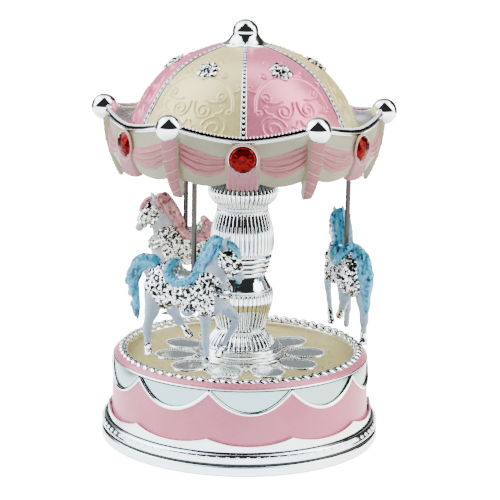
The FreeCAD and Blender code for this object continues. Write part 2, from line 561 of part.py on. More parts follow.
def limb(name, a, b, ra, rb):
    a, b = V(*a), V(*b)
    c = doc.addObject("Part::Cone", "horse_" + name)
    c.Radius1, c.Radius2, c.Height = ra, rb, (b - a).Length
    c.setExpression("Radius1", "Spec." + dim("horse_%s_first" % name, float(ra)))
    c.setExpression("Radius2", "Spec." + dim("horse_%s_last" % name, float(rb)))
    c.setExpression("Height", "Spec." + dim("horse_%s_long" % name, float((b - a).Length)))
    c.Placement = FreeCAD.Placement(a, FreeCAD.Rotation(V(0, 0, 1), b - a))
    pieces.append(c)


lump("trunk", (-2.0, 0, 63.6), (15.0, 4.7, 6.9))
lump("rump", (-11.3, 0, 65.3), (6.9, 5.0, 7.0))
lump("chest", (7.4, 0, 63.4), (6.0, 4.9, 7.6))
limb("neck", (7.0, 0, 64.5), (12.0, 0, 79.5), 5.0, 3.0)
lump("poll", (11.8, 0, 80.0), (3.2, 2.4, 3.3))
limb("head", (12.0, 0, 80.4), (18.9, 0, 71.6), 2.9, 1.6)
lump("muzzle", (18.5, 0, 71.8), (1.9, 1.6, 1.8))
lump("mane", (7.6, 0, 77.6), (2.7, 1.7, 7.6), 24.0)
limb("ear_left", (12.6, 1.3, 81.8), (13.6, 1.6, 85.2), 1.0, 0.3)
limb("ear_right", (12.6, -1.3, 81.8), (13.6, -1.6, 85.2), 1.0, 0.3)
lump("saddle", (-1.6, 0, 68.2), (6.6, 5.2, 3.2))
limb("tail_root", (-15.6, 0, 69.8), (-22.6, -0.8, 69.0), 1.9, 2.3)
lump("tail_bend", (-22.9, -0.9, 67.6), (3.2, 2.3, 3.8))
limb("tail_fall", (-23.6, -1.1, 67.2), (-23.0, -2.2, 56.2), 2.5, 2.0)
limb("tail_tip", (-23.0, -2.2, 56.6), (-21.2, -2.6, 50.2), 1.95, 0.6)
limb("fore_right", (6.3, -2.6, 61.0), (8.4, -2.6, 38.2), 2.5, 1.15)
limb("hoof_fore_right", (8.4, -2.6, 38.6), (8.7, -2.6, 35.3), 1.25, 1.75)
limb("hind_right", (-13.8, -2.6, 62.0), (-16.9, -2.6, 42.0), 3.4, 1.15)
limb("hoof_hind_right", (-16.9, -2.6, 42.4), (-17.1, -2.6, 38.8), 1.25, 1.75)
limb("hind_left_upper", (-11.5, 2.6, 62.0), (-9.6, 2.6, 53.0), 3.4, 1.6)
limb("hind_left_lower", (-9.8, 2.6, 53.9), (-4.6, 2.6, 48.6), 1.6, 1.1)
limb("hoof_hind_left", (-5.0, 2.6, 49.0), (-2.9, 2.6, 46.2), 1.2, 1.7)
limb("fore_left_upper", (8.8, 2.6, 61.0), (17.3, 2.6, 55.4), 2.6, 1.5)
lump("knee", (17.2, 2.6, 55.2), (1.75, 1.55, 1.8))
limb("fore_left_lower", (17.3, 2.6, 55.0), (12.2, 2.6, 44.4), 1.45, 1.05)
limb("hoof_fore_left", (12.4, 2.6, 44.8), (10.6, 2.6, 41.2), 1.15, 1.7)
mould = doc.addObject("Part::MultiFuse", "horse_mould")
mould.Shapes = pieces
socket = doc.addObject("Part::Cylinder", "horse_socket")
socket.setExpression("Radius", "Spec." + dim("socket_radius", 1.03))
socket.setExpression("Height", "Spec." + dim("socket_depth", 20.0))
socket.Placement = FreeCAD.Placement(V(0, 0, 58.9), FreeCAD.Rotation())
heading = {"one": (-25.5, 0.4), "two": (94.5, 0.0), "three": (-145.5, 1.7)}
for k, (word, alias) in enumerate((("one", "rod_angle_one"), ("two", "rod_angle_two"), ("three", "rod_angle_three"))):
    x, y = rods_at[k]
    lift = {"one": 0.2, "two": 0.0, "three": 1.0}[word]
    yaw = {"one": 0.0, "two": 8.0, "three": -19.5}[word]
    dim("horse_turn_" + word, cells[alias] + 90.0 + yaw)
    dim("horse_lift_" + word, lift)
    hs = doc.addObject("Part::Cut", "horse_%d" % (k + 1))
    hs.Label = "horse_%d" % (k + 1)
    hs.Base, hs.Tool = mould, socket
    hs.Placement = FreeCAD.Placement(V(x, y, lift), FreeCAD.Rotation(V(0, 0, 1), cells["horse_turn_" + word]))
    hs.setExpression("Placement.Base.x", "Spec.rod_circle * cos(Spec.%s)" % alias)
    hs.setExpression("Placement.Base.y", "Spec.rod_circle * sin(Spec.%s)" % alias)
    hs.setExpression("Placement.Base.z", "Spec.horse_lift_" + word)
    hs.setExpression("Placement.Rotation.Angle", "Spec.horse_turn_" + word)
    nodes.append(hs)
    rod = doc.addObject("Part::Cylinder", "rod_%d" % (k + 1))
    rod.Label = "rod_%d" % (k + 1)
    rod.setExpression("Radius", "Spec.rod_radius")
    rod.setExpression("Height", "Spec.rod_top - Spec.rod_low")
    rod.setExpression("Placement.Base.x", "Spec.rod_circle * cos(Spec.%s)" % alias)
    rod.setExpression("Placement.Base.y", "Spec.rod_circle * sin(Spec.%s)" % alias)
    rod.setExpression("Placement.Base.z", "Spec.rod_low + Spec.horse_lift_" + word)
    nodes.append(rod)
    co = doc.addObject("Part::Cylinder", "collar_outside_%d" % (k + 1))
    ci = doc.addObject("Part::Cylinder", "collar_inside_%d" % (k + 1))
    if k == 0:
        dim("collar_outer", 3.0)
        dim("collar_bore", 1.02)
        dim("collar_height", 2.4)
        dim("collar_low", 108.64)
    co.setExpression("Radius", "Spec.collar_outer")
    co.setExpression("Height", "Spec.collar_height")
    ci.setExpression("Radius", "Spec.collar_bore")
    ci.setExpression("Height", "Spec.collar_height * 2")
    for q, down in ((co, ""), (ci, " - 1")):
        q.setExpression("Placement.Base.x", "Spec.rod_circle * cos(Spec.%s)" % alias)
        q.setExpression("Placement.Base.y", "Spec.rod_circle * sin(Spec.%s)" % alias)
        q.setExpression("Placement.Base.z", "Spec.collar_low" + down)
    cl = doc.addObject("Part::Cut", "rod_collar_%d" % (k + 1))
    cl.Label = "rod_collar_%d" % (k + 1)
    cl.Base, cl.Tool = co, ci
    nodes.append(cl)

doc.recompute()

# ---------------------------------------------------------------- checks and files
for o in doc.Objects:
    if "Invalid" in o.State or "Error" in o.State:
        raise RuntimeError("failed: %s %s" % (o.Name, o.State))
for o in nodes:
    sh = o.Shape
    if sh.isNull() or not sh.isValid() or sh.Volume <= 0:
        raise RuntimeError("bad shape: " + o.Label)
total = FreeCAD.BoundBox()
for o in nodes:
    o.Shape.exportStep("parts/" + o.Label + ".step")
    total.add(o.Shape.BoundBox)
    print("%-20s solids %3d volume %9.1f  x %7.2f..%7.2f  y %7.2f..%7.2f  z %7.2f..%7.2f" % (o.Label, len(o.Shape.Solids), o.Shape.Volume, o.Shape.BoundBox.XMin, o.Shape.BoundBox.XMax, o.Shape.BoundBox.YMin, o.Shape.BoundBox.YMax, o.Shape.BoundBox.ZMin, o.Shape.BoundBox.ZMax))
print("nodes", len(nodes), "box", total)
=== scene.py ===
import math

import bpy
import numpy as np
from mathutils import Matrix, Vector


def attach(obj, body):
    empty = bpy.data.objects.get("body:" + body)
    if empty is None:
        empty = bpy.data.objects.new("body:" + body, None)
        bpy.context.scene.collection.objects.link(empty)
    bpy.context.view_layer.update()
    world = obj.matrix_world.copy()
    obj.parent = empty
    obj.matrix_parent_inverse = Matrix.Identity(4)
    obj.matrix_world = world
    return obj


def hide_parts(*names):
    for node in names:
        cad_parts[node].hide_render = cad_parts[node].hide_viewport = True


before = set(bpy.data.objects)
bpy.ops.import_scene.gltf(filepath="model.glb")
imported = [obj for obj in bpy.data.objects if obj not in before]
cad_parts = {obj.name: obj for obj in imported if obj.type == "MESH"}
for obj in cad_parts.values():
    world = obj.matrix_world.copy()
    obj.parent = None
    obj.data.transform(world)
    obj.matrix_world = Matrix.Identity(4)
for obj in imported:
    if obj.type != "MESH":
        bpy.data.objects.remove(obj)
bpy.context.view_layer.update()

rng = np.random.RandomState(7)

# ------------------------------------------------------------------ small helpers (millimetres in, metres out)


def cyl(phi, r, z):
    """phi in degrees from the front (-Y) towards +X."""
    p = np.radians(phi)
    return np.stack(np.broadcast_arrays(r * np.sin(p), -r * np.cos(p), z), axis=-1)


def grid_faces(nv, nu, closed):
    """Quads over a (nv, nu) grid of points, nu running around."""
    j = np.arange(nv - 1)[:, None]
    i = np.arange(nu if closed else nu - 1)[None, :]
    i2 = (i + 1) % nu
    a = j * nu + i
    b = j * nu + i2
    c = (j + 1) * nu + i2
    d = (j + 1) * nu + i
    return np.stack([a, b, c, d], axis=-1).reshape(-1, 4)


class Soup:
    """Collects vertices and faces of one piece."""

    def __init__(self):
        self.v, self.f, self.m, self.n = [], [], [], 0

    def add(self, v, f, mat=0):
        v = np.asarray(v, float).reshape(-1, 3)
        f = np.asarray(f, int)
        self.v.append(v)
        self.f.append(f + self.n)
        self.m.append(np.full(len(f), mat))
        self.n += len(v)
        return self

    def grid(self, p, closed=True, mat=0, flip=False):
        nv, nu = p.shape[:2]
        f = grid_faces(nv, nu, closed)
        if flip:
            f = f[:, ::-1]
        return self.add(p.reshape(-1, 3), f, mat)


def build(name, soup, mats, body, replaces=(), smooth=True, merge=False):
    if not isinstance(mats, (list, tuple)):
        mats = [mats]
    V = np.concatenate(soup.v) * 0.001
    me = bpy.data.meshes.new(name)
    me.vertices.add(len(V))
    me.vertices.foreach_set("co", V.astype(np.float32).ravel())
    loops = np.concatenate([f.ravel() for f in soup.f])
    sizes = np.concatenate([np.full(len(f), f.shape[1]) for f in soup.f])
    starts = np.concatenate([[0], np.cumsum(sizes)[:-1]])
    me.loops.add(len(loops))
    me.loops.foreach_set("vertex_index", loops.astype(np.int32))
    me.polygons.add(len(sizes))
    me.polygons.foreach_set("loop_start", starts.astype(np.int32))
    me.polygons.foreach_set("material_index", np.concatenate(soup.m).astype(np.int32))
    me.polygons.foreach_set("use_smooth", np.full(len(sizes), bool(smooth)))
    me.update(calc_edges=True)
    me.validate()
    for m in mats:
        me.materials.append(m)
    ob = bpy.data.objects.new(name, me)
    bpy.context.scene.collection.objects.link(ob)
    if replaces:
        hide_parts(*replaces)
    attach(ob, body)
    return ob


def ico(sub):
    t = (1 + 5 ** 0.5) / 2
    v = [(-1, t, 0), (1, t, 0), (-1, -t, 0), (1, -t, 0), (0, -1, t), (0, 1, t), (0, -1, -t), (0, 1, -t), (t, 0, -1), (t, 0, 1), (-t, 0, -1), (-t, 0, 1)]
    f = [(0, 11, 5), (0, 5, 1), (0, 1, 7), (0, 7, 10), (0, 10, 11), (1, 5, 9), (5, 11, 4), (11, 10, 2), (10, 7, 6), (7, 1, 8), (3, 9, 4), (3, 4, 2), (3, 2, 6), (3, 6, 8), (3, 8, 9), (4, 9, 5), (2, 4, 11), (6, 2, 10), (8, 6, 7), (9, 8, 1)]
    v = [np.array(p) / np.linalg.norm(p) for p in v]
    for _ in range(sub):
        nf, mid = [], {}

        def m(a, b):
            k = (min(a, b), max(a, b))
            if k not in mid:
                p = v[a] + v[b]
                v.append(p / np.linalg.norm(p))
                mid[k] = len(v) - 1
            return mid[k]

        for a, b, c in f:
            x, y, z = m(a, b), m(b, c), m(c, a)
            nf += [(a, x, z), (b, y, x), (c, z, y), (x, y, z)]
        f = nf
    return np.array(v), np.array(f)


ICO1, ICO2, ICO3 = ico(1), ico(2), ico(3)


def beads(soup, centres, radius, mat=0, tpl=ICO1, stretch=None):
    v, f = tpl
    c = np.asarray(centres, float).reshape(-1, 3)
    r = np.broadcast_to(np.asarray(radius, float), (len(c),))
    V = c[:, None, :] + v[None] * r[:, None, None]
    F = f[None] + (np.arange(len(c)) * len(v))[:, None, None]
    soup.add(V.reshape(-1, 3), F.reshape(-1, 3), mat)


def smooth_path(pts, n):
    """Catmull-Rom through the points, n samples spaced evenly."""
    p = np.asarray(pts, float)
    q = np.vstack([2 * p[0] - p[1], p, 2 * p[-1] - p[-2]])
    out = []
    for i in range(len(p) - 1):
        a, b, c, d = q[i], q[i + 1], q[i + 2], q[i + 3]
        t = np.linspace(0, 1, 24, endpoint=False)[:, None]
        out.append(0.5 * ((2 * b) + (c - a) * t + (2 * a - 5 * b + 4 * c - d) * t ** 2 + (3 * b - a - 3 * c + d) * t ** 3))
    out.append(p[-1:])
    o = np.vstack(out)
    s = np.concatenate([[0], np.cumsum(np.linalg.norm(np.diff(o, axis=0), axis=1))])
    u = np.linspace(0, s[-1], n)
    return np.stack([np.interp(u, s, o[:, k]) for k in range(o.shape[1])], axis=1)


def tube(soup, path, radius, seg=10, closed=False, mat=0, hint=None, squash=1.0, caps=True):
    """A round (or flattened) tube along a path. hint fixes the first normal; squash scales across it."""
    P = np.asarray(path, float)
    n = len(P)
    if closed:
        T = np.roll(P, -1, axis=0) - np.roll(P, 1, axis=0)
    else:
        T = np.gradient(P, axis=0)
    T /= np.linalg.norm(T, axis=1, keepdims=True) + 1e-12
    if hint is not None and np.ndim(hint) == 2:
        N = np.asarray(hint, float)
        N = N - (N * T).sum(1, keepdims=True) * T
        N /= np.linalg.norm(N, axis=1, keepdims=True) + 1e-12
    else:
        N = np.zeros_like(P)
        a = np.array(hint if hint is not None else (0, 0, 1.0))
        a = a - a.dot(T[0]) * T[0]
        if np.linalg.norm(a) < 1e-6:
            a = np.cross(T[0], (1, 0, 0))
        N[0] = a / np.linalg.norm(a)
        for i in range(1, n):
            b = N[i - 1] - N[i - 1].dot(T[i]) * T[i]
            N[i] = b / (np.linalg.norm(b) + 1e-12)
    B = np.cross(T, N)
    r = np.broadcast_to(np.asarray(radius, float), (n,))
    ang = np.linspace(0, 2 * np.pi, seg, endpoint=False)
    ring = P[:, None] + (np.cos(ang)[None, :, None] * N[:, None] + squash * np.sin(ang)[None, :, None] * B[:, None]) * r[:, None, None]
    if closed:
        ring = np.concatenate([ring, ring[:1]], axis=0)
    soup.grid(ring, True, mat, flip=True)
    if caps and not closed:
        for k, inward in ((0, 1), (n - 1, -1)):
            c = np.vstack([ring[k], P[k][None] - inward * T[k][None] * r[k] * 0.5])
            m = seg
            f = np.array([[i, (i + 1) % seg, m] for i in range(seg)])
            soup.add(c, f if inward == 1 else f[:, ::-1], mat)


def resample(profile, n):
    p = np.asarray(profile, float)
    s = np.concatenate([[0], np.cumsum(np.linalg.norm(np.diff(p, axis=0), axis=1))])
    u = np.linspace(0, s[-1], n)
    return np.stack([np.interp(u, s, p[:, 0]), np.interp(u, s, p[:, 1])], axis=1)


def soften(profile, n, passes=2):
    """Even samples of a profile with its corners slightly rounded."""
    p = resample(profile, n)
    for _ in range(passes):
        p[1:-1] = 0.25 * p[:-2] + 0.5 * p[1:-1] + 0.25 * p[2:]
    return p


def lathe(soup, profile, nphi=256, mat=0, ripple=None, groove=None):
    p = np.asarray(profile, float)
    phi = np.linspace(0, 360, nphi, endpoint=False)[None, :]
    r = np.repeat(p[:, :1], nphi, axis=1)
    z = np.repeat(p[:, 1:2], nphi, axis=1)
    if ripple is not None:
        r = r + ripple(phi, z)
    soup.grid(cyl(phi, r, z), True, mat)
    # groove picks the faces in the flute hollows for material 1, which the callers give a near-black chrome: painted
    # shade in the grooves.
    if groove is not None:
        n, width, lo, hi = groove
        col = np.abs(np.cos(np.radians(phi[0]) * n / 2.0)) < width
        zm = 0.5 * (p[:-1, 1] + p[1:, 1])
        row = (zm > lo) & (zm < hi)
        soup.m[-1] = (row[:, None] & col[None, :]).astype(int).reshape(-1)


# ------------------------------------------------------------------ materials


def new_mat(name):
    m = bpy.data.materials.new(name)
    m.use_nodes = True
    nt = m.node_tree
    return m, nt, nt.nodes["Principled BSDF"]


def noise_of(nt, scale, detail=4.0, rough=0.6, coords=None):
    n = nt.nodes.new("ShaderNodeTexNoise")
    n.inputs["Scale"].default_value = scale
    n.inputs["Detail"].default_value = detail
    n.inputs["Roughness"].default_value = rough
    if coords is None:
        c = nt.nodes.new("ShaderNodeTexCoord")
        coords = c.outputs["Object"]
    nt.links.new(coords, n.inputs["Vector"])
    return n, coords


def ramp_of(nt, src, stops):
    r = nt.nodes.new("ShaderNodeValToRGB")
    el = r.color_ramp.elements
    while len(el) < len(stops):
        el.new(0.5)
    for e, (p, c) in zip(el, stops):
        e.position = p
        e.color = c if len(c) == 4 else (*c, 1)
    nt.links.new(src, r.inputs["Fac"])
    return r


def map_of(nt, src, lo, hi, a=0.0, b=1.0):
    m = nt.nodes.new("ShaderNodeMapRange")
    m.inputs["From Min"].default_value = a
    m.inputs["From Max"].default_value = b
    m.inputs["To Min"].default_value = lo
    m.inputs["To Max"].default_value = hi
    nt.links.new(src, m.inputs["Value"])
    return m


def bump_of(nt, src, strength, distance, bsdf, prev=None):
    b = nt.nodes.new("ShaderNodeBump")
    b.inputs["Strength"].default_value = strength
    b.inputs["Distance"].default_value = distance
    nt.links.new(src, b.inputs["Height"])
    if prev is not None:
        nt.links.new(prev.outputs["Normal"], b.inputs["Normal"])
    nt.links.new(b.outputs["Normal"], bsdf.inputs["Normal"])
    return b


def metal(name, colour, r_lo, r_hi, micro=0.00002, scale=900.0, tint=0.05, wave=None):
    """Plated or ground metal: smudges in the gloss, faint tint drift, slight waviness of the plated plastic."""
    m, nt, b = new_mat(name)
    n1, co = noise_of(nt, 90.0, 5.0, 0.65)
    n2, _ = noise_of(nt, scale, 3.0, 0.6, co)
    lo = [max(0.0, c * (1 - tint)) for c in colour]
    hi = [min(1.0, c * (1 + tint)) for c in colour]
    rp = ramp_of(nt, n1.outputs["Fac"], [(0.3, lo), (0.7, hi)])
    nt.links.new(rp.outputs["Color"], b.inputs["Base Color"])
    b.inputs["Metallic"].default_value = 1.0
    mr = map_of(nt, n2.outputs["Fac"], r_lo, r_hi, 0.35, 0.7)
    nt.links.new(mr.outputs["Result"], b.inputs["Roughness"])
    bp = bump_of(nt, n1.outputs["Fac"], 0.25, micro, b)
    if wave:
        w = nt.nodes.new("ShaderNodeTexWave")
        w.inputs["Scale"].default_value = wave
        w.inputs["Distortion"].default_value = 1.5
        w.inputs["Detail"].default_value = 3.0
        nt.links.new(co, w.inputs["Vector"])
        bump_of(nt, w.outputs["Fac"], 0.12, 0.00002, b, bp)
    return m


def lacquer(name, colour, dark, rough, coat, speck=1400.0, sparkle=0.35, sheen=0.0, bumpd=0.00002, sss=0.0, metallic=0.0):
    """Pearl lacquer on moulded plastic: fine mica speckle, slow tone drift, light orange peel, a thin clear coat."""
    m, nt, b = new_mat(name)
    n1, co = noise_of(nt, 55.0, 4.0, 0.55)
    n2, _ = noise_of(nt, speck, 2.0, 0.5, co)
    rp = ramp_of(nt, n1.outputs["Fac"], [(0.32, dark), (0.62, colour)])
    mix = nt.nodes.new("ShaderNodeMix")
    mix.data_type = "RGBA"
    mix.blend_type = "SOFT_LIGHT"
    mix.inputs["Factor"].default_value = sparkle
    nt.links.new(rp.outputs["Color"], mix.inputs["A"])
    gr = ramp_of(nt, n2.outputs["Fac"], [(0.35, (0.35, 0.35, 0.35)), (0.65, (0.68, 0.68, 0.68))])
    nt.links.new(gr.outputs["Color"], mix.inputs["B"])
    nt.links.new(mix.outputs["Result"], b.inputs["Base Color"])
    mr = map_of(nt, n2.outputs["Fac"], rough * 0.8, rough * 1.25, 0.3, 0.7)
    nt.links.new(mr.outputs["Result"], b.inputs["Roughness"])
    b.inputs["Metallic"].default_value = metallic
    b.inputs["Coat Weight"].default_value = coat
    b.inputs["Coat Roughness"].default_value = 0.12
    b.inputs["Specular IOR Level"].default_value = 0.3
    b.inputs["Sheen Weight"].default_value = sheen
    if sss:
        b.inputs["Subsurface Weight"].default_value = sss
        b.inputs["Subsurface Radius"].default_value = (0.0016, 0.0010, 0.0008)
        b.inputs["Subsurface Scale"].default_value = 1.0
    bump_of(nt, n2.outputs["Fac"], 0.18, bumpd, b)
    return m


CHROME = metal("chrome_plate", (0.90, 0.91, 0.93), 0.02, 0.07, 0.000012, 700.0, 0.03)
CHROME_SOFT = metal("chrome_satin", (0.80, 0.88, 0.92), 0.05, 0.12, 0.00002, 700.0, 0.04)
CHROME_DARK = metal("chrome_shadow", (0.030, 0.030, 0.034), 0.12, 0.25, 0.00002, 900.0, 0.20)


def crust(name, bright, mid, dark, cut, scale):
    """Cast and plated ornament: bright crowns with dark hollows between them, painted into the base colour as noise
    patches of near-white and near-black, a painted highlight and painted shade.
    """
    m, nt, b = new_mat(name)
    n1, co = noise_of(nt, scale, 1.5, 0.5)
    n2, _ = noise_of(nt, scale * 2.3, 2.0, 0.5, co)
    rp = ramp_of(nt, n1.outputs["Fac"], [(cut - 0.045, dark), (cut - 0.005, mid), (cut + 0.035, bright)])
    nt.links.new(rp.outputs["Color"], b.inputs["Base Color"])
    b.inputs["Metallic"].default_value = 1.0
    mr = map_of(nt, n2.outputs["Fac"], 0.08, 0.20, 0.35, 0.7)
    nt.links.new(mr.outputs["Result"], b.inputs["Roughness"])
    bump_of(nt, n1.outputs["Fac"], 0.45, 0.00030, b)
    return m


# Near-black chrome for the column's flute grooves: painted shade and painted dark reflection in the hollows.
CHROME_GROOVE_SHADE = metal("chrome_groove_painted_shade", (0.10, 0.11, 0.12), 0.10, 0.22, 0.00002, 900.0, 0.10)
# Ornament chrome for the emblems and the horses' harness: its near-black noise patches are painted shade, its
# near-white ones painted highlight.
CHROME_CRUST_SHADED = crust("chrome_cast_painted_shade", (0.92, 0.93, 0.95), (0.36, 0.36, 0.34), (0.008, 0.008, 0.010), 0.490, 820.0)
CRUST_PALE_SHADED = crust("pale_chrome_cast_painted_shade", (0.92, 0.91, 0.86), (0.42, 0.38, 0.28), (0.05, 0.05, 0.045), 0.475, 820.0)
GUTTER = metal("gutter_satin", (0.50, 0.51, 0.53), 0.26, 0.36, 0.00003, 600.0, 0.10)
WINDOW = metal("window_silver", (0.34, 0.50, 0.52), 0.16, 0.26, 0.00002, 900.0, 0.03)
PETAL = metal("petal_silver", (0.74, 0.80, 0.79), 0.12, 0.20, 0.00003, 900.0, 0.06)
ROD = metal("rod_steel", (0.050, 0.044, 0.041), 0.26, 0.40, 0.00003, 1600.0, 0.12, wave=400.0)
STEEL = metal("ground_steel", (0.42, 0.43, 0.45), 0.22, 0.38, 0.00003, 1200.0, 0.08, wave=300.0)
BRASS = metal("turned_brass", (0.72, 0.50, 0.18), 0.18, 0.32, 0.00003, 1200.0, 0.10, wave=500.0)
ZINC = metal("cast_zinc", (0.40, 0.40, 0.39), 0.38, 0.55, 0.00006, 800.0, 0.10)
PINK = lacquer("panel_pink", (0.96, 0.25, 0.41), (0.90, 0.18, 0.33), 0.34, 0.20, sparkle=0.22, metallic=0.46)
DRUM_PINK = lacquer("drum_pink", (0.92, 0.25, 0.38), (0.86, 0.20, 0.33), 0.36, 0.16, sparkle=0.28, metallic=0.15)
DRAPE = lacquer("drape_pink", (0.74, 0.29, 0.32), (0.65, 0.23, 0.26), 0.42, 0.06, sparkle=0.28, metallic=0.08)
DRAPE_PALE = lacquer("drape_lilac", (0.72, 0.31, 0.37), (0.64, 0.25, 0.31), 0.42, 0.06, sparkle=0.28, metallic=0.08)
CREAM = lacquer("panel_cream", (0.95, 0.80, 0.36), (0.90, 0.73, 0.30), 0.40, 0.12, sparkle=0.24, metallic=0.34)
SKIRT_CREAM = lacquer("skirt_cream", (0.62, 0.61, 0.41), (0.54, 0.52, 0.33), 0.42, 0.08, sparkle=0.24, metallic=0.06)
DECK_CREAM = lacquer("deck_cream", (0.66, 0.55, 0.20), (0.56, 0.45, 0.14), 0.50, 0.04, speck=1100.0, sparkle=0.45)
# Pale pink used two ways: on the crests of the swag folds and the ribbon-tail folds it is a painted highlight; on the
# stone rings it is their own colour.
FOLD = lacquer("fold_highlight_and_bezel", (0.92, 0.62, 0.54), (0.84, 0.54, 0.47), 0.40, 0.1)
TAIL = lacquer("tail_pink", (0.58, 0.20, 0.23), (0.50, 0.16, 0.19), 0.42, 0.06, sparkle=0.28, metallic=0.08)
# Darker lacquers for the raised scroll lines of the dome panels: painted shade along the relief.
PINK_LINE_SHADE = lacquer("panel_pink_line_painted_shade", (0.88, 0.16, 0.30), (0.80, 0.11, 0.24), 0.34, 0.16, sparkle=0.22, metallic=0.40)
CREAM_LINE_SHADE = lacquer("panel_cream_line_painted_shade", (0.86, 0.70, 0.28), (0.80, 0.62, 0.23), 0.40, 0.12, sparkle=0.24, metallic=0.30)
SKIN = lacquer("horse_skin", (0.60, 0.80, 1.0), (0.50, 0.71, 0.97), 0.26, 0.30, sparkle=0.20, sss=0.10)
SKIN_PALE = lacquer("horse_skin_pale", (0.93, 0.94, 1.0), (0.84, 0.87, 0.97), 0.26, 0.30, sparkle=0.20, sss=0.10)


def hair_lacquer(name, light, mid, hollow_shade):
    """Pearl colour over moulded locks: noise patches paint lighter crowns, a painted highlight, and a near-black colour
    in the hollows, a painted shade; fine combed lines in the bump.
    """
    m, nt, b = new_mat(name)
    n1, co = noise_of(nt, 430.0, 2.5, 0.55)
    n2, _ = noise_of(nt, 1300.0, 2.0, 0.5, co)
    w_ = nt.nodes.new("ShaderNodeTexWave")
    w_.inputs["Scale"].default_value = 260.0
    w_.inputs["Distortion"].default_value = 7.0
    w_.inputs["Detail"].default_value = 2.0
    w_.inputs["Detail Scale"].default_value = 1.5
    nt.links.new(co, w_.inputs["Vector"])
    rp = ramp_of(nt, n1.outputs["Fac"], [(0.36, hollow_shade), (0.43, mid), (0.58, light)])
    nt.links.new(rp.outputs["Color"], b.inputs["Base Color"])
    mr = map_of(nt, n2.outputs["Fac"], 0.22, 0.38, 0.3, 0.7)
    nt.links.new(mr.outputs["Result"], b.inputs["Roughness"])
    b.inputs["Coat Weight"].default_value = 0.25
    b.inputs["Coat Roughness"].default_value = 0.12
    b.inputs["Specular IOR Level"].default_value = 0.35
    b.inputs["Metallic"].default_value = 0.12
    p_ = bump_of(nt, w_.outputs["Fac"], 0.40, 0.00012, b)
    bump_of(nt, n1.outputs["Fac"], 0.35, 0.00020, b, p_)
    return m


# The last colour of each hair lacquer is the near-black painted shade for the hollows of the locks.
BLUE = hair_lacquer("hair_blue", (0.07, 0.60, 0.90), (0.025, 0.42, 0.72), (0.001, 0.08, 0.17))
ROSE = hair_lacquer("hair_pink", (0.86, 0.38, 0.40), (0.74, 0.24, 0.27), (0.22, 0.06, 0.09))
SEAT = lacquer("saddle_seat", (0.62, 0.62, 0.55), (0.42, 0.43, 0.38), 0.20, 0.4, sparkle=0.4, metallic=0.6)
# Near-black for the canopy underside and the dome cap: the underside lies in shade, and this dark colour paints that
# shade in rather than giving the plastic's own colour.
SHADED_BOARD = lacquer("canopy_board", (0.070, 0.068, 0.062), (0.045, 0.044, 0.040), 0.55, 0.0, speck=800.0, sparkle=0.4)
PLATE = lacquer("base_plastic", (0.52, 0.52, 0.53), (0.44, 0.44, 0.46), 0.5, 0.0, speck=800.0, sparkle=0.4)
ACETAL = lacquer("acetal", (0.72, 0.69, 0.58), (0.66, 0.62, 0.50), 0.45, 0.0, speck=900.0, sparkle=0.3)


def ruby():
    m, nt, b = new_mat("ruby_stone_painted_glow")
    v = nt.nodes.new("ShaderNodeTexVoronoi")
    v.inputs["Scale"].default_value = 620.0
    c = nt.nodes.new("ShaderNodeTexCoord")
    nt.links.new(c.outputs["Object"], v.inputs["Vector"])
    n, _ = noise_of(nt, 500.0, 3.0, 0.5, c.outputs["Object"])
    mx = nt.nodes.new("ShaderNodeMath")
    mx.operation = "ADD"
    nt.links.new(v.outputs["Color"], mx.inputs[0])
    nt.links.new(n.outputs["Fac"], mx.inputs[1])
    rp = ramp_of(nt, mx.outputs["Value"], [(0.40, (0.004, 0.0, 0.0001)), (0.75, (0.028, 0.0, 0.0003)), (1.0, (0.085, 0.0, 0.0004))])
    nt.links.new(rp.outputs["Color"], b.inputs["Base Color"])
    b.inputs["Roughness"].default_value = 0.16
    b.inputs["Metallic"].default_value = 0.92
    b.inputs["Coat Weight"].default_value = 0.06
    b.inputs["Coat Roughness"].default_value = 0.02
    b.inputs["Specular IOR Level"].default_value = 0.1
    # The stone's red also drives its emission at strength 1: a painted inner glow, not a lamp. The Voronoi cells and
    # noise vary the red from near black to deep red.
    nt.links.new(rp.outputs["Color"], b.inputs["Emission Color"])
    b.inputs["Emission Strength"].default_value = 1.0
    return m


RUBY = ruby()

# ------------------------------------------------------------------ plinth
SW0 = -13.0  # first swag junction, then every 36 degrees


def swag_t(phi, first=SW0, step=36.0):
    """-1..1 across each swag, 0 at its middle."""
    return ((np.asarray(phi, float) - first) % step) / step * 2.0 - 1.0


NP = 1080
phi = np.linspace(0, 360, NP, endpoint=False)
t = swag_t(phi)
edge = 10.4 + 2.4 * np.abs(t) ** 2.2
s = Soup()
lathe(s, [(46.5, 0.0), (50.4, 0.0), (52.15, 0.0)], NP)
lathe(s, [(52.15, 0.0), (52.42, 0.12), (52.5, 0.30)], NP, mat=1)
low = soften([(52.5, 0.30), (52.5, 1.6), (52.5, 3.05), (52.42, 3.3), (52.15, 3.5)], 20, 1)
lathe(s, low, NP)
lathe(s, [(52.15, 3.5), (51.7, 3.62), (51.55, 3.95), (51.6, 4.35), (51.9, 4.52)], NP, mat=1)
lathe(s, soften([(51.9, 4.5), (52.3, 4.62), (52.45, 4.95), (52.35, 5.6), (52.15, 6.3), (51.9, 7.0), (51.65, 7.5), (51.2, 7.85), (50.9, 7.9)], 26, 1), NP)
lathe(s, [(50.9, 7.9), (50.4, 7.92), (50.2, 8.05), (50.2, 8.35)], NP, mat=1)
rows = []
for v in np.linspace(0, 1, 16):
    z = 8.35 + (edge - 0.25 - 8.35) * v
    r = 50.2 + (49.95 - 50.2) * v
    rows.append(cyl(phi, r, z))
for dr, dz in ((0.0, 0.12), (-0.12, 0.24), (-0.35, 0.25), (-0.6, 0.1), (-0.6, -1.2)):
    rows.append(cyl(phi, 49.95 + dr, edge - 0.25 + dz + 0.0 * phi))
s.grid(np.array(rows))
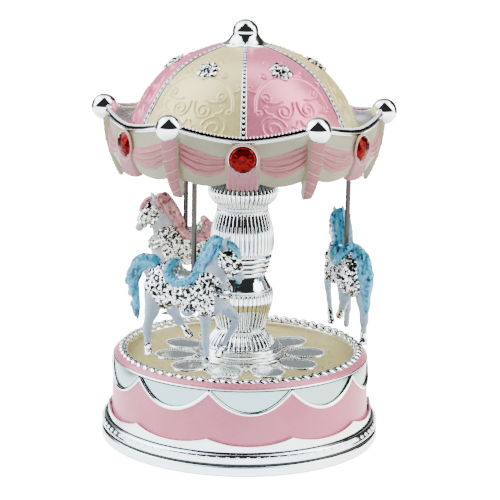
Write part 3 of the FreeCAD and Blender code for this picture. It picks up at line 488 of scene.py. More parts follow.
lathe(s, [(49.15, 9.2), (46.0, 9.2), (46.0, 7.5), (41.0, 6.0), (41.0, 3.05), (46.5, 3.05), (46.5, 0.0)], 360)
plinth = build("plinth_ring", s, [CHROME_SOFT, CHROME_DARK], "base", ["plinth"])

s = Soup()
nb = 88
bp = np.arange(nb) * 360.0 / nb
beads(s, cyl(bp, 51.85, 6.45), 0.74, tpl=ICO2)
v0 = s.v[0]
build("plinth_beads", s, CHROME, "base")

# thin chrome line along the scalloped collar
s = Soup()
path = cyl(phi, 49.8, edge - 0.08)
tube(s, path, 0.22, 8, closed=True, hint=np.tile([0, 0, 1.0], (NP, 1)))
build("plinth_edge_line", s, CHROME, "base")

# ------------------------------------------------------------------ drum
z_sw = 29.95 - 8.0 * (1 - np.abs(t) ** 2.1)
drum_r = lambda z: 48.75 + (48.0 - 48.75) * (z - 10.05) / 20.35
s = Soup()
rows = []
for v in np.linspace(0, 1, 40):
    z = (edge - 1.4) + (z_sw - (edge - 1.4)) * v
    rows.append(cyl(phi, drum_r(z), z))
s.grid(np.array(rows))
# pink chamfer above the silver line, and the step under the deck rim
rows = [cyl(phi, a, b) for a, b in soften([(47.75, 31.35), (47.95, 31.45), (47.6, 31.85), (46.9, 32.45), (46.2, 32.95), (45.6, 33.05), (45.0, 32.6)], 22, 1)]
s.grid(np.array(rows))
lathe(s, [(47.3, 10.0), (47.3, 25.0), (46.9, 25.4), (44.5, 28.0), (46.0, 28.0), (46.0, 31.0)], 240)
build("drum_wall", s, DRUM_PINK, "base", ["drum_shell"])

s = Soup()
rows = []
for v in np.linspace(0, 1, 26):
    z = z_sw + (30.45 - z_sw) * v
    bow = 0.22 * np.sin(np.pi * v) * (1 - np.abs(t) ** 3)
    rows.append(cyl(phi, drum_r(z) - 0.42 + bow, z))
s.grid(np.array(rows))
build("drum_windows", s, WINDOW, "base")

s = Soup()
tt = np.linspace(-1, 1, 73)
for k in range(10):
    ph = SW0 + 36 * k + (tt + 1) * 18
    z = 29.95 - 8.0 * (1 - np.abs(tt) ** 2.1)
    P = cyl(ph, drum_r(z) + 0.05, z)
    N = cyl(ph, 1.0, 0.0)
    N[:, 2] = 0
    B = np.gradient(P, axis=0)
    B /= np.linalg.norm(B, axis=1, keepdims=True)
    W = np.cross(B, N)
    W /= np.linalg.norm(W, axis=1, keepdims=True)
    sec = [(-0.78, -0.5), (-0.74, 0.1), (-0.55, 0.38), (-0.3, 0.55), (0.0, 0.62), (0.3, 0.55), (0.55, 0.38), (0.74, 0.1), (0.78, -0.5)]
    ring = np.stack([P + W * a + N * b for a, b in sec], axis=1)
    s.grid(ring, closed=False)
    s.m[-1] = np.tile([1, 0, 0, 0, 0, 0, 0, 1], 72)
lathe(s, soften([(47.5, 30.62), (48.1, 30.66), (48.32, 30.82), (48.34, 31.05), (48.1, 31.32), (47.5, 31.36)], 18, 1), NP)
lathe(s, [(47.7, 30.2), (48.08, 30.25), (48.1, 30.58), (47.8, 30.66)], NP, mat=1)
build("drum_swags", s, [CHROME, CHROME_DARK], "base")

# ------------------------------------------------------------------ deck
s = Soup()
rows = [(2.6, 30.02), (16.9, 30.02)]
for r in np.linspace(17.0, 43.6, 60):
    rows.append((r, 30.0 + 0.06 * math.sin(r * 2.1) * 0.2))
rows += [(44.6, 30.3), (44.6, 28.05), (2.6, 28.05)]
lathe(s, rows, 360)
dimples = cyl(np.arange(30) * 12.0 + 3.0, 34.6, 30.02)
beads(s, dimples, 0.34, tpl=ICO1)
build("deck_floor", s, DECK_CREAM, "base", ["deck"])

s = Soup()
NR = 1536
ph = np.linspace(0, 360, NR, endpoint=False)[None, :]
psi = np.linspace(0, 2 * np.pi, 30, endpoint=False)[:, None]
lobes = 66
tw = np.abs(np.cos(np.radians(ph) * lobes / 2.0 + psi * 0.5))
rho = 0.72 + 1.06 * tw ** 0.62
rr = 44.55 + rho * np.cos(psi) * 1.02
zz = 32.40 + rho * np.sin(psi) * 0.95
P = cyl(ph, rr, zz)
P = np.concatenate([P, P[:1]], axis=0)
s.grid(P)
s.m[-1] = (tw < 0.17).astype(int).reshape(-1)
lathe(s, soften([(43.2, 30.0), (43.15, 31.2), (43.45, 31.9), (44.0, 32.2)], 12, 1), 360)
build("deck_rope", s, [CHROME, CHROME_DARK], "base", ["deck_rim"])

# petals with beaded borders
s = Soup()
sb = Soup()
for k in range(10):
    a0 = math.radians(-12 + 36 * k)
    ex = np.array([math.sin(a0), -math.cos(a0), 0.0])
    ey = np.array([math.cos(a0), math.sin(a0), 0.0])
    u = np.linspace(0, 2 * np.pi, 72, endpoint=False)
    rings = []
    for f, h in ((0.0, 0.62), (0.3, 0.60), (0.6, 0.56), (0.84, 0.48), (0.9, 0.44), (0.93, 0.60), (0.97, 0.66), (1.0, 0.55), (1.02, 0.0)):
        c = 24.4
        x = c + 7.9 * f * np.cos(u)
        y = (6.15 + 0.55 * np.cos(u)) * f * np.sin(u)
        rings.append(x[:, None] * ex + y[:, None] * ey + np.array([0, 0, 30.02 + h]))
    s.grid(np.array(rings))
    nn = 54
    u = np.linspace(0, 2 * np.pi, nn, endpoint=False)
    x = 24.4 + 7.9 * 0.985 * np.cos(u)
    y = (6.15 + 0.55 * np.cos(u)) * 0.985 * np.sin(u)
    beads(sb, x[:, None] * ex + y[:, None] * ey + np.array([0, 0, 30.66]), 0.30)
build("deck_petal_plates", s, PETAL, "base", ["deck_petals"])
build("deck_petal_beads", sb, CHROME, "base")
s = Soup()
for k in range(10):
    a0 = math.radians(6 + 36 * k)
    ex = np.array([math.sin(a0), -math.cos(a0), 0.0])
    ey = np.array([math.cos(a0), math.sin(a0), 0.0])
    c = ex * 20.6 + np.array([0, 0, 30.35])
    beads(s, [c + np.array([0, 0, 0.5])], 0.55, tpl=ICO2)
    for j in range(6):
        b = j * math.pi / 3
        d = ex * math.cos(b) * (1.5 if j % 3 == 0 else 1.05) + ey * math.sin(b) * 0.95
        beads(s, [c + d], 0.52, tpl=ICO1)
        beads(s, [c + d * 1.6 + np.array([0, 0, -0.12])], 0.3, tpl=ICO1)
build("deck_florets", s, CHROME, "base", ["deck_rosettes"])

# ------------------------------------------------------------------ column


def flutes(n, depth, lo, hi, power=0.75, fade=1.2):
    def f(ph, z):
        w = np.clip((z - lo) / fade, 0, 1) * np.clip((hi - z) / fade, 0, 1)
        return -depth * w * (1 - np.abs(np.cos(np.radians(ph) * n / 2.0)) ** power)
    return f


NF = 1200
s = Soup()
lathe(s, soften([(16.4, 30.0), (17.0, 30.2), (17.2, 30.75), (17.0, 31.2), (16.4, 31.5), (15.6, 31.62), (15.5, 31.8), (15.9, 32.2), (16.05, 32.8), (15.9, 33.4), (15.5, 33.7), (15.0, 33.8), (14.9, 34.0), (15.1, 34.4), (14.8, 34.8), (14.1, 35.0)], 60, 1), 512)
lathe(s, soften([(14.1, 35.0), (13.2, 35.1), (12.9, 35.5), (12.5, 36.6), (11.6, 38.0), (10.5, 39.2), (9.5, 40.0), (9.1, 40.5)], 40, 1), NF, ripple=flutes(40, 0.62, 34.9, 40.6, 0.7, 0.5), groove=(40, 0.30, 35.2, 40.3))
build("column_foot_plated", s, [CHROME, CHROME_GROOVE_SHADE], "base", ["column_foot"])
s = Soup()
lathe(s, soften([(8.4, 40.45), (9.35, 40.6), (9.5, 41.0), (9.3, 41.35)], 10, 1), 512)
lathe(s, soften([(9.1, 41.3), (9.5, 42.6), (10.1, 44.6), (10.9, 47.4), (11.6, 49.8), (12.1, 52.0), (12.3, 53.6), (12.15, 55.0), (11.7, 55.9)], 64, 1), NF, ripple=flutes(42, 0.62, 41.4, 56.0, 0.7, 0.8), groove=(42, 0.26, 41.8, 55.6))
lathe(s, soften([(11.5, 55.85), (11.95, 56.0), (12.0, 56.25), (11.6, 56.45), (11.2, 56.5)], 12, 1), 512)
build("lower_urn_plated", s, [CHROME, CHROME_GROOVE_SHADE], "base", ["lower_urn"])
s = Soup()
lathe(s, soften([(11.2, 56.5), (11.35, 56.9), (11.1, 57.4), (10.3, 58.8), (9.5, 60.3), (9.0, 61.5), (8.85, 62.1)], 32, 1), 512)
prof = [(8.85, 62.1)]
for zc, rc, hh in ((63.2, 9.7, 0.85), (65.0, 10.35, 0.85), (66.9, 10.75, 0.9), (68.9, 11.4, 0.95)):
    for b in np.linspace(-80, 80, 11):
        prof.append((rc - 0.75 + 0.75 * math.cos(math.radians(b)), zc + hh * math.sin(math.radians(b))))
prof += [(11.2, 69.9), (10.6, 70.0)]
lathe(s, prof, 512)
pz = np.array(prof)
valley = np.zeros(len(prof) - 1, int)
for q_ in range(4):
    a0 = 1 + 11 * q_
    valley[[a0 - 1, a0, a0 + 9, a0 + 10]] = 1
s.m[-1] = np.repeat(valley, 512)
build("middle_spindle_plated", s, [CHROME, CHROME_DARK], "base", ["middle_spindle"])
s = Soup()
lathe(s, soften([(10.6, 70.0), (11.35, 70.3), (11.85, 71.6), (12.15, 73.6), (12.15, 75.2), (11.98, 77.2), (11.62, 79.6), (11.05, 82.2), (10.35, 84.6), (9.7, 86.4)], 72, 1), NF, ripple=flutes(42, 0.62, 70.0, 86.6, 0.7, 0.8), groove=(42, 0.26, 70.5, 86.0))
build("upper_urn_plated", s, [CHROME, CHROME_GROOVE_SHADE], "base", ["upper_urn"])
s = Soup()
lathe(s, soften([(9.6, 86.4), (9.9, 86.7), (9.8, 87.1), (9.2, 87.3)], 12, 1), 512)
nb = 48
beads(s, cyl(np.arange(nb) * 360 / nb, 9.25, 87.75), 0.55, tpl=ICO2)
lathe(s, soften([(9.0, 87.2), (9.1, 88.2), (9.7, 88.8)], 10, 1), 512)
lathe(s, soften([(9.7, 88.7), (10.9, 89.4), (12.1, 90.6), (12.95, 92.2), (13.25, 93.4), (13.2, 94.3), (12.75, 95.8), (12.0, 97.2), (11.0, 98.15), (9.6, 98.4), (5.2, 98.4)], 70, 1), NF, ripple=flutes(46, 0.75, 88.6, 98.2, 0.7, 0.8), groove=(46, 0.34, 89.2, 98.0))
build("column_capital_plated", s, [CHROME, CHROME_GROOVE_SHADE], "base", ["column_capital"])

# ------------------------------------------------------------------ canopy: rim, gutter, balls


def w_of(phi):
    """0 under the jewels, 1 at the balls."""
    a = np.abs(((np.asarray(phi, float) + 30.0) % 60.0) - 30.0) / 30.0
    return np.sqrt(a ** 3.0 + 0.0)


def w_soft(phi):
    a = w_of(phi)
    return np.where(a > 0.90, 0.90 + 0.10 * np.sin((a - 0.90) / 0.10 * np.pi / 2) * 0.6, a)


NC = 1440
phc = np.linspace(0, 360, NC, endpoint=False)
rim_r = 48.1 + 2.9 * w_soft(phc)
rim_z = 120.95 + 4.3 * w_soft(phc)


def rim_at(p):
    return 48.1 + 2.9 * w_soft(p), 120.95 + 4.3 * w_soft(p)


s = Soup()
sec = [(0.98, -0.25), (1.0, 0.0), (0.90, 0.12), (0.70, 0.15), (0.58, 0.12), (0.50, 0.16), (0.46, 0.5), (0.40, 0.86), (0.26, 0.96), (-0.1, 1.0), (-0.6, 1.0), (-1.0, 0.95), (-1.25, 0.86), (-1.55, 0.82), (-1.75, 0.6), (-1.85, 0.1), (-1.7, -0.5), (-1.2, -1.0), (-0.4, -1.25), (0.2, -1.25), (0.45, -1.05), (0.42, -0.85), (0.62, -0.72), (0.86, -0.46)]
P = np.array([cyl(phc, rim_r + a, rim_z + b) for a, b in sec + sec[:1]])
s.grid(P, flip=True)
s.m[-1] = np.repeat([1 if 4 <= j < 10 else 0 for j in range(len(sec))], NC)
build("rim_wave", s, [CHROME, CHROME_DARK], "carousel", ["rim_moulding"])
s = Soup()
nm = 246
mp = np.arange(nm) * 360.0 / nm
r_, z_ = rim_at(mp)
v, f = ICO1
for p_, rr_, zz_ in zip(mp, r_, z_):
    c = cyl(p_, rr_ - 0.25, zz_ + 1.08)
    out = cyl(p_, 1.0, 0.0)
    side = np.array([out[1], -out[0], 0.0])
    V = v[:, :1] * out * 0.62 + v[:, 1:2] * side * 0.31 + v[:, 2:3] * np.array([0, 0, 0.55])
    s.add(c + V, f)
build("rim_milling", s, CHROME, "carousel")

s = Soup()
rows = []
for v_ in np.linspace(0, 1, 24):
    r = 41.9 + (rim_r - 1.6 - 41.9) * v_
    z = 118.2 + (rim_z - 0.35 - 118.2) * (v_ ** 1.15)
    pl = 0.42 * np.abs(np.sin(np.radians(phc) * 45)) ** 0.6 * np.sin(np.pi * min(1.0, v_ * 1.1))
    rows.append(cyl(phc, r, z + pl))
s.grid(np.array(rows), flip=True)
build("gutter_pleats", s, GUTTER, "carousel", ["gutter_ring"])

s = Soup()
ball_phi = np.arange(6) * 60.0 + 30.0
for p_ in ball_phi:
    c = cyl(p_, 51.6, 124.5)
    nu, nv = 96, 64
    th = np.linspace(0, np.pi, nv)[:, None]
    ps = np.linspace(0, 2 * np.pi, nu, endpoint=False)[None, :]
    S = np.stack(np.broadcast_arrays(np.sin(th) * np.cos(ps), np.sin(th) * np.sin(ps), -np.cos(th)), axis=-1) * 4.82 + c
    s.grid(S)
build("rim_ball_set", s, CHROME, "carousel", ["rim_balls"])

# ------------------------------------------------------------------ dome
DOME = np.array([(8.0, 148.35), (10.6, 147.75), (13.3, 146.9), (17.3, 145.55), (21.1, 143.9), (25.0, 141.75), (28.5, 139.3), (31.9, 136.1), (35.0, 132.2), (38.8, 126.0), (41.2, 121.2), (42.2, 118.9), (42.5, 118.0)])
q = smooth_path(DOME, 240)
arc = np.concatenate([[0], np.cumsum(np.linalg.norm(np.diff(q, axis=0), axis=1))])
TOTAL = arc[-1]
tq = np.gradient(q, axis=0)
tq /= np.linalg.norm(tq, axis=1, keepdims=True)
nq = np.stack([-tq[:, 1], tq[:, 0]], axis=1)
nq *= np.sign(nq[:, 0:1] + 1e-9)


def dome_point(phi_deg, up, lift=0.0):
    """up: millimetres along the meridian from the foot; lift: outward."""
    sarc = TOTAL - np.asarray(up, float)
    r = np.interp(sarc, arc, q[:, 0]) + lift * np.interp(sarc, arc, nq[:, 0])
    z = np.interp(sarc, arc, q[:, 1]) + lift * np.interp(sarc, arc, nq[:, 1])
    return cyl(phi_deg, r, z)


def spiral(cx, cy, r0, r1, a0, a1, n=40):
    a = np.radians(np.linspace(a0, a1, n))
    r = np.linspace(r0, r1, n)
    return np.stack([cx + r * np.cos(a), cy + r * np.sin(a)], axis=1)


def scroll(*pts):
    return smooth_path([(a, b, 0) for a, b in pts], 70)[:, :2]


half = [
    # great snail scroll in the lower corner
    spiral(10.4, 5.9, 5.0, 1.2, 165, -395, 90),
    # scroll beside the middle, with its stem
    spiral(4.6, 12.4, 2.8, 0.7, -60, 420, 60),
    scroll((0.8, 15.6), (1.3, 12.2), (3.2, 10.0), (6.0, 9.98)),
    # side curl, with its stem
    spiral(9.7, 18.0, 2.0, 0.5, -90, 400, 50),
    scroll((4.4, 16.4), (7.0, 15.6), (9.7, 16.0)),
    # arc from the emblem out to the rib, with its end curl
    scroll((2.4, 26.0), (6.0, 25.2), (10.5, 22.2), (13.8, 17.4), (15.3, 12.6)),
    spiral(14.2, 12.3, 1.15, 0.4, 15, -330, 30),
    # curl beside the emblem
    spiral(7.3, 27.6, 1.6, 0.45, 210, 580, 40),
    scroll((3.9, 28.6), (4.8, 27.2), (5.9, 26.8)),
    # tendrils
    scroll((13.2, 20.0), (14.8, 20.6), (15.1, 22.2), (14.0, 22.8)),
    scroll((9.4, 11.2), (11.4, 12.0), (12.0, 13.8), (10.9, 14.4)),
    # small pair at the foot
    spiral(2.9, 4.7, 1.9, 0.5, 90, 470, 40),
    scroll((0.6, 8.6), (1.4, 7.1), (2.9, 6.6)),
]
LINES = []
for c in half:
    LINES.append(c)
    LINES.append(c * np.array([-1.0, 1.0]))
LINES_P = np.concatenate(LINES)
RINGS = [(-3.1, 35.0), (3.1, 35.0)]


def relief(x, y):
    """Raised scrollwork height in millimetres at panel coordinates."""
    h = np.zeros_like(x)
    flat = np.stack([x.ravel(), y.ravel()], axis=1)
    best = np.full(len(flat), 1e9)
    mask = flat[:, 1] < 33
    sub = flat[mask]
    d2 = np.full(len(sub), 1e9)
    for c in LINES:
        lo, hi = c.min(0) - 1.5, c.max(0) + 1.5
        k = np.where((sub[:, 0] > lo[0]) & (sub[:, 0] < hi[0]) & (sub[:, 1] > lo[1]) & (sub[:, 1] < hi[1]))[0]
        if len(k) == 0:
            continue
        dd = ((sub[k][:, None, :] - c[None, :, :]) ** 2).sum(-1).min(1)
        d2[k] = np.minimum(d2[k], dd)
    best[mask] = d2
    h = 0.32 * np.exp(-best / (2 * 0.235 ** 2))
    for cx, cy in RINGS:
        d = np.sqrt((flat[:, 0] - cx) ** 2 + (flat[:, 1] - cy) ** 2)
        h += 0.32 * np.exp(-((d - 0.75) ** 2) / (2 * 0.2 ** 2))
    return h.reshape(x.shape)


def panel(soup, centre):
    nv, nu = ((220, 200))
    up = np.linspace(0.0, TOTAL, nv)[:, None]
    a = np.linspace(-29.2, 29.2, nu)[None, :]
    sarc = TOTAL - up
    r = np.interp(sarc, arc, q[:, 0])
    x = np.radians(a) * r
    h = relief(np.broadcast_to(x, (nv, nu)).copy(), np.broadcast_to(up, (nv, nu)).copy())
    edge_fade = np.clip((29.2 - np.abs(a)) / 0.8, 0, 1)
    puff = 0.35 * (1 - (a / 29.2) ** 2) * np.sin(np.pi * np.clip(up / TOTAL, 0, 1))
    lift = h * edge_fade + puff - 0.45 * (1 - edge_fade)
    P = dome_point(np.broadcast_to(centre + a, (nv, nu)), np.broadcast_to(up, (nv, nu)), lift)
    soup.grid(P, closed=False, flip=True)
    hm_ = 0.25 * (h[:-1, :-1] + h[1:, :-1] + h[:-1, 1:] + h[1:, 1:])
    # Faces on the raised scroll lines take the darker second lacquer: painted shade along the relief.
    soup.m[-1] = (hm_ > 0.15).astype(int).reshape(-1)


sp, sc = Soup(), Soup()
for k in range(3):
    panel(sp, 30 + 120 * k)
    panel(sc, -30 + 120 * k)
build("dome_pink", sp, [PINK, PINK_LINE_SHADE], "carousel", ["dome_panels_pink"])
build("dome_cream", sc, [CREAM, CREAM_LINE_SHADE], "carousel", ["dome_panels_cream"])

# beaded ribs
s, sb = Soup(), Soup()
for k in range(6):
    p0 = 60.0 * k
    up = np.linspace(-0.2, TOTAL - 0.2, 120)
    wid = np.interp(up, [0, TOTAL], [1.15, 0.62])
    base = dome_point(np.full(len(up), p0), up, 0.0)
    nrm = dome_point(np.full(len(up), p0), up, 1.0) - base
    side = cyl(p0 + 90.0, 1.0, 0.0)
    sec = [(-1.0, -0.5), (-1.0, 0.30), (-0.86, 0.46), (-0.66, 0.42), (-0.55, 0.22), (0.0, 0.18), (0.55, 0.22), (0.66, 0.42), (0.86, 0.46), (1.0, 0.30), (1.0, -0.5)]
    ring = np.stack([base + side * (a * wid)[:, None] + nrm * b for a, b in sec], axis=1)
    s.grid(ring, closed=False)
    s.m[-1] = np.tile([0, 0, 0, 1, 1, 1, 1, 0, 0, 0], 119)
    nbd = 24
    ub = np.linspace(1.0, TOTAL - 1.0, nbd)
    rb = np.interp(ub, [0, TOTAL], [0.66, 0.42])
    beads(sb, dome_point(np.full(nbd, p0), ub, 0.34), rb, tpl=ICO2)
    sb.v.append(np.zeros((0, 3)))
    sb.f.append(np.zeros((0, 3), int))
    sb.m.append(np.zeros(0))
build("rib_bands", s, [CHROME, CHROME_DARK], "carousel", ["dome_ribs"])
build("rib_beads", sb, CHROME, "carousel")

# flower emblems
s = Soup()
for k in range(6):
    p0 = 30.0 + 60.0 * k
    up0 = 29.2
    o = dome_point(p0, up0, 0.35)
    n_ = dome_point(p0, up0, 1.35) - o
    ex = cyl(p0 + 90.0, 1.0, 0.0)
    ey = np.cross(n_, ex)
    r2 = np.random.RandomState(100)
    for j in range(6):
        a = math.radians(60 * j + 30)
        d = ex * math.cos(a) + ey * math.sin(a)
        w_ = np.cross(n_, d)
        v, f = ICO2
        wob = 1 + 0.09 * np.sin(v[:, 0] * 5 + j) * np.cos(v[:, 1] * 6)
        V = (v[:, :1] * d * 1.80 + v[:, 1:2] * w_ * 1.72 + v[:, 2:3] * n_ * 0.70) * wob[:, None]
        s.add(o + d * 2.75 + n_ * 0.15 + V, f)
        beads(s, [o + d * 3.9 + n_ * 0.5, o + d * 1.7 + w_ * 0.8 + n_ * 0.75, o + d * 3.0 - w_ * 1.0 + n_ * 0.5], [0.5, 0.45, 0.45])
    for j in range(5):
        a = math.radians(72 * j)
        d = ex * math.cos(a) + ey * math.sin(a)
        v, f = ICO1
        V = v[:, :1] * d * 0.85 + v[:, 1:2] * np.cross(n_, d) * 0.6 + v[:, 2:3] * n_ * 0.5
        s.add(o + d * 0.95 + n_ * 0.8 + V, f)
    beads(s, [o + n_ * 1.05], 0.55, tpl=ICO2)
build("emblem_flowers", s, CHROME_CRUST_SHADED, "carousel", ["dome_emblems"])

s = Soup()
lathe(s, soften([(6.0, 147.9), (8.35, 148.0), (8.6, 148.3), (8.35, 148.7), (7.4, 149.3), (6.5, 150.1), (5.7, 151.0), (5.1, 151.8), (4.82, 152.6), (4.85, 153.4), (4.65, 154.4), (4.2, 155.4), (3.45, 156.3), (2.3, 157.1), (1.15, 157.53), (0.01, 157.68)], 90, 1), 256)
build("finial_knob", s, CHROME, "carousel", ["finial"])

# ------------------------------------------------------------------ skirt, drapes, ribbon tails, stones


def fold_phi(p):
    """0 at a jewel, 30 at a ball."""
    return np.abs(((np.asarray(p, float) + 30.0) % 60.0) - 30.0)


def skirt_r(p, z):
    rr, rz = rim_at(p)
    top = rr - 0.35
    zt = rz - 0.7
    up = np.clip((z - 112.0) / np.maximum(zt - 112.0, 1e-6), 0, 1.3)
    dn = np.clip((112.0 - z) / 6.5, 0, 2.0)
    return 49.0 + (top - 49.0) * up ** 1.15 - 0.35 * dn - 2.05 * dn ** 1.7 + 0.0 * up


def skirt_bottom(p):
    f = fold_phi(p)
    a = np.clip((f - 6.4) / (26.6 - 6.4), 0, 1)
    hem = 106.4 - 2.0 * np.sin(np.pi * np.clip(a, 0, 1)) ** 0.75
    return np.where(f < 6.4, 105.6, np.where(f > 26.6, 105.0, hem))


s = Soup()
zt = rim_z - 0.7
zb = skirt_bottom(phc)
rows = []
for v in np.linspace(0, 1, 46):
    z = zt + (zb - zt) * v
    rows.append(cyl(phc, skirt_r(phc, z), z))
for dr, dz in ((-0.18, -0.22), (-0.55, -0.32), (-0.95, -0.22), (-1.15, 0.05)):
    rows.append(cyl(phc, skirt_r(phc, zb) + dr, zb + dz))
for v in np.linspace(0, 1, 22):
    z = zb + (zt - 0.6 - zb) * v
    rows.append(cyl(phc, skirt_r(phc, z) - 1.15, z))
s.grid(np.array(rows), flip=True)
build("skirt_wall", s, SKIRT_CREAM, "carousel", ["canopy_skirt"])


def patch(soup, P, thick_dir, depth, mat=0, flip=False):
    """A raised patch: the outer grid plus walls sunk back along thick_dir."""
    soup.grid(P, closed=False, mat=mat, flip=flip)
    B = P + thick_dir * depth
    for e0, e1, fl in ((P[0], B[0], True), (P[-1], B[-1], False), (P[:, 0], B[:, 0], False), (P[:, -1], B[:, -1], True)):
        soup.grid(np.stack([e0, e1]), closed=False, mat=mat, flip=fl ^ flip)


s = Soup()
NT, NV = 70, 64
for k in range(6):
    for sg in (-1, 1):
        tt_ = np.linspace(0, 1, NT)[:, None]
        vv = np.linspace(0, 1, NV)[None, :]
        f = 7.2 + (27.4 - 7.2) * tt_
        zu = 115.2 + 4.6 * tt_ ** 1.6
        zl = np.interp(tt_[:, 0], [0, 0.12, 0.35, 0.6, 0.82, 1.0], [110.6, 109.2, 107.9, 108.3, 110.2, 113.2])[:, None]
        ker = np.array([1, 2, 3, 2, 1.0]) / 9
        zz_ = np.pad(zl[:, 0], 2, mode="edge")
        zl = np.convolve(zz_, ker, mode="valid")[:, None]
        # the cloth gathers towards both ends: folds keep their share of the width
        z = zl + (zu - zl) * vv
        ph_ = 60.0 * k + sg * (f + 0 * vv)
        wv = vv ** 0.92 * 4.0
        ridge = 1.0 - np.abs(np.sin(np.pi * wv))
        hgt = 0.24 + (0.42 + 0.42 * np.sin(np.pi * tt_)) * ridge ** 1.5 + 0.12 * np.sin(np.pi * vv)
        e = np.minimum(np.minimum(vv, 1 - vv) * 18, 1) * np.minimum(np.minimum(tt_, 1 - tt_) * 30, 1)
        hgt = hgt * (0.25 + 0.75 * e)
        r = skirt_r(ph_, z) + hgt
        P = cyl(ph_, r, z)
        D = -cyl(ph_, 1.0, 0.0 * z)
        patch(s, P, D, 1.0, flip=(sg > 0))
        ridge = ridge + 0.0 * tt_
        rf = 0.25 * (ridge[:-1, :-1] + ridge[1:, :-1] + ridge[:-1, 1:] + ridge[1:, 1:])
        # Faces along the fold crests take the pale fold pink: a painted highlight on the ridges.
        s.m[-5] = (rf > 0.74).astype(int).reshape(-1)
build("drape_swags", s, [DRAPE, FOLD], "carousel", ["skirt_drapes"])

s = Soup()
for k in range(6):
    x = np.linspace(-1, 1, 91)[None, :]
    v = np.linspace(0, 1, 40)[:, None]
    spread = 6.3 + 0.5 * v
    hem = 103.6 + 0.35 * np.abs(np.sin(np.pi * 3.5 * (x + 1))) * -1.0 + 0.5 * x ** 2
    z = 112.5 + (hem - 112.5) * v
    ph_ = 60.0 * k + spread * x
    pleat = 0.55 * np.abs(np.cos(np.pi * 3.5 * x)) ** 0.8 * (0.35 + 0.65 * v)
    r = skirt_r(ph_, z) + 0.5 + pleat + 0.35 * v
    r = np.maximum(r, 46.9 + pleat)
    e = np.minimum((1 - np.abs(x)) * 14, 1)
    r = r - (1 - e) * 0.45
    P = cyl(ph_, r, z + 0 * x)
    D = -cyl(ph_ + 0 * v, 1.0, 0.0 * z)
    patch(s, P, D, 1.6, flip=True)
build("drape_falls", s, DRAPE_PALE, "carousel")

s = Soup()
FOLDS = [122.0, 117.0, 113.5, 109.0, 105.5, 101.7, 97.6]
for k in range(6):
    p0 = 30.0 + 60.0 * k
    out = cyl(p0, 1.0, 0.0)
    side = cyl(p0 + 90.0, 1.0, 0.0)
    z = np.linspace(121.3, 99.3, 150)[:, None]
    x = np.linspace(-1, 1, 33)[None, :]
    ro = np.interp(z[:, 0], [99.3, 103.0, 107.8, 112.7, 119.8, 121.3], [46.5, 48.3, 50.2, 51.5, 52.4, 52.5])[:, None]
    hw = np.interp(z[:, 0], [99.3, 99.9, 101.0, 104, 113, 121.3], [1.5, 1.8, 2.05, 2.4, 2.95, 3.1])[:, None]
    lean = 0.42 if k % 2 == 0 else -0.42
    u = z + lean * x * hw + 0.5 * np.cos(x * 1.5)
    frac = np.zeros_like(u)
    near = np.full_like(u, 9.0)
    for a_, b_ in zip(FOLDS[:-1], FOLDS[1:]):
        m_ = (u <= a_) & (u > b_)
        frac = np.where(m_, (a_ - u) / (a_ - b_), frac)
    for a_ in FOLDS[1:-1]:
        near = np.minimum(near, np.abs(u - a_))
    step = 0.22 * np.sin(np.pi * np.clip(frac, 0, 1)) + 0.36 * np.exp(-(near / 0.24) ** 2)
    dome_ = -0.35 * np.abs(x) ** 3.5
    r = ro - 0.45 + step + dome_
    P = out * r[..., None] + side * (x * hw)[..., None]
    P[..., 2] = z + 0 * x
    n_z, n_x = P.shape[:2]
    faces = grid_faces(n_z, n_x, False)[:, ::-1]
    # Faces on the fold edges take the pale fold pink: a painted highlight along each fold.
    fu = near.reshape(-1)[faces].mean(1)
    mat = np.where(fu < 0.20, 1, 0)
    s.v.append(P.reshape(-1, 3))
    s.f.append(faces + s.n)
    s.m.append(mat)
    s.n += n_z * n_x
    # cream sides and back
    back = np.maximum(ro - 3.2, 44.6)
    for xx, fl in ((-1, False), (1, True)):
        e0 = P[:, 0] if xx < 0 else P[:, -1]
        cols = [e0]
        for q_ in (0.35, 0.7, 1.0):
            rr_ = (r[:, 0] if xx < 0 else r[:, -1]) * (1 - q_) + (back[:, 0]) * q_
            pt = out * rr_[:, None] + side * (xx * hw[:, 0] * (1 + 0.05 * np.sin(np.pi * q_)))[:, None]
            pt[:, 2] = z[:, 0]
            cols.append(pt)
        s.grid(np.stack(cols, axis=1), closed=False, mat=2, flip=not fl)
    bk = []
    for xx in np.linspace(-1, 1, 7):
        pt = out * back + side * (xx * hw)
        pt[:, 2] = z[:, 0]
        bk.append(pt)
    s.grid(np.stack(bk, axis=1), closed=False, mat=2)
    tip = [P[-1]]
    for q_ in (0.5, 1.0):
        rr_ = r[-1] * (1 - q_) + back[-1] * q_
        pt = out * rr_[:, None] + side * (x[0] * hw[-1])[:, None]
        pt[:, 2] = 99.3 - 0.3 * np.sin(np.pi * q_)
        tip.append(pt)
    s.grid(np.stack(tip), closed=False, mat=2, flip=True)
build("ribbon_tails", s, [TAIL, FOLD, SKIRT_CREAM], "carousel", ["skirt_tails"])

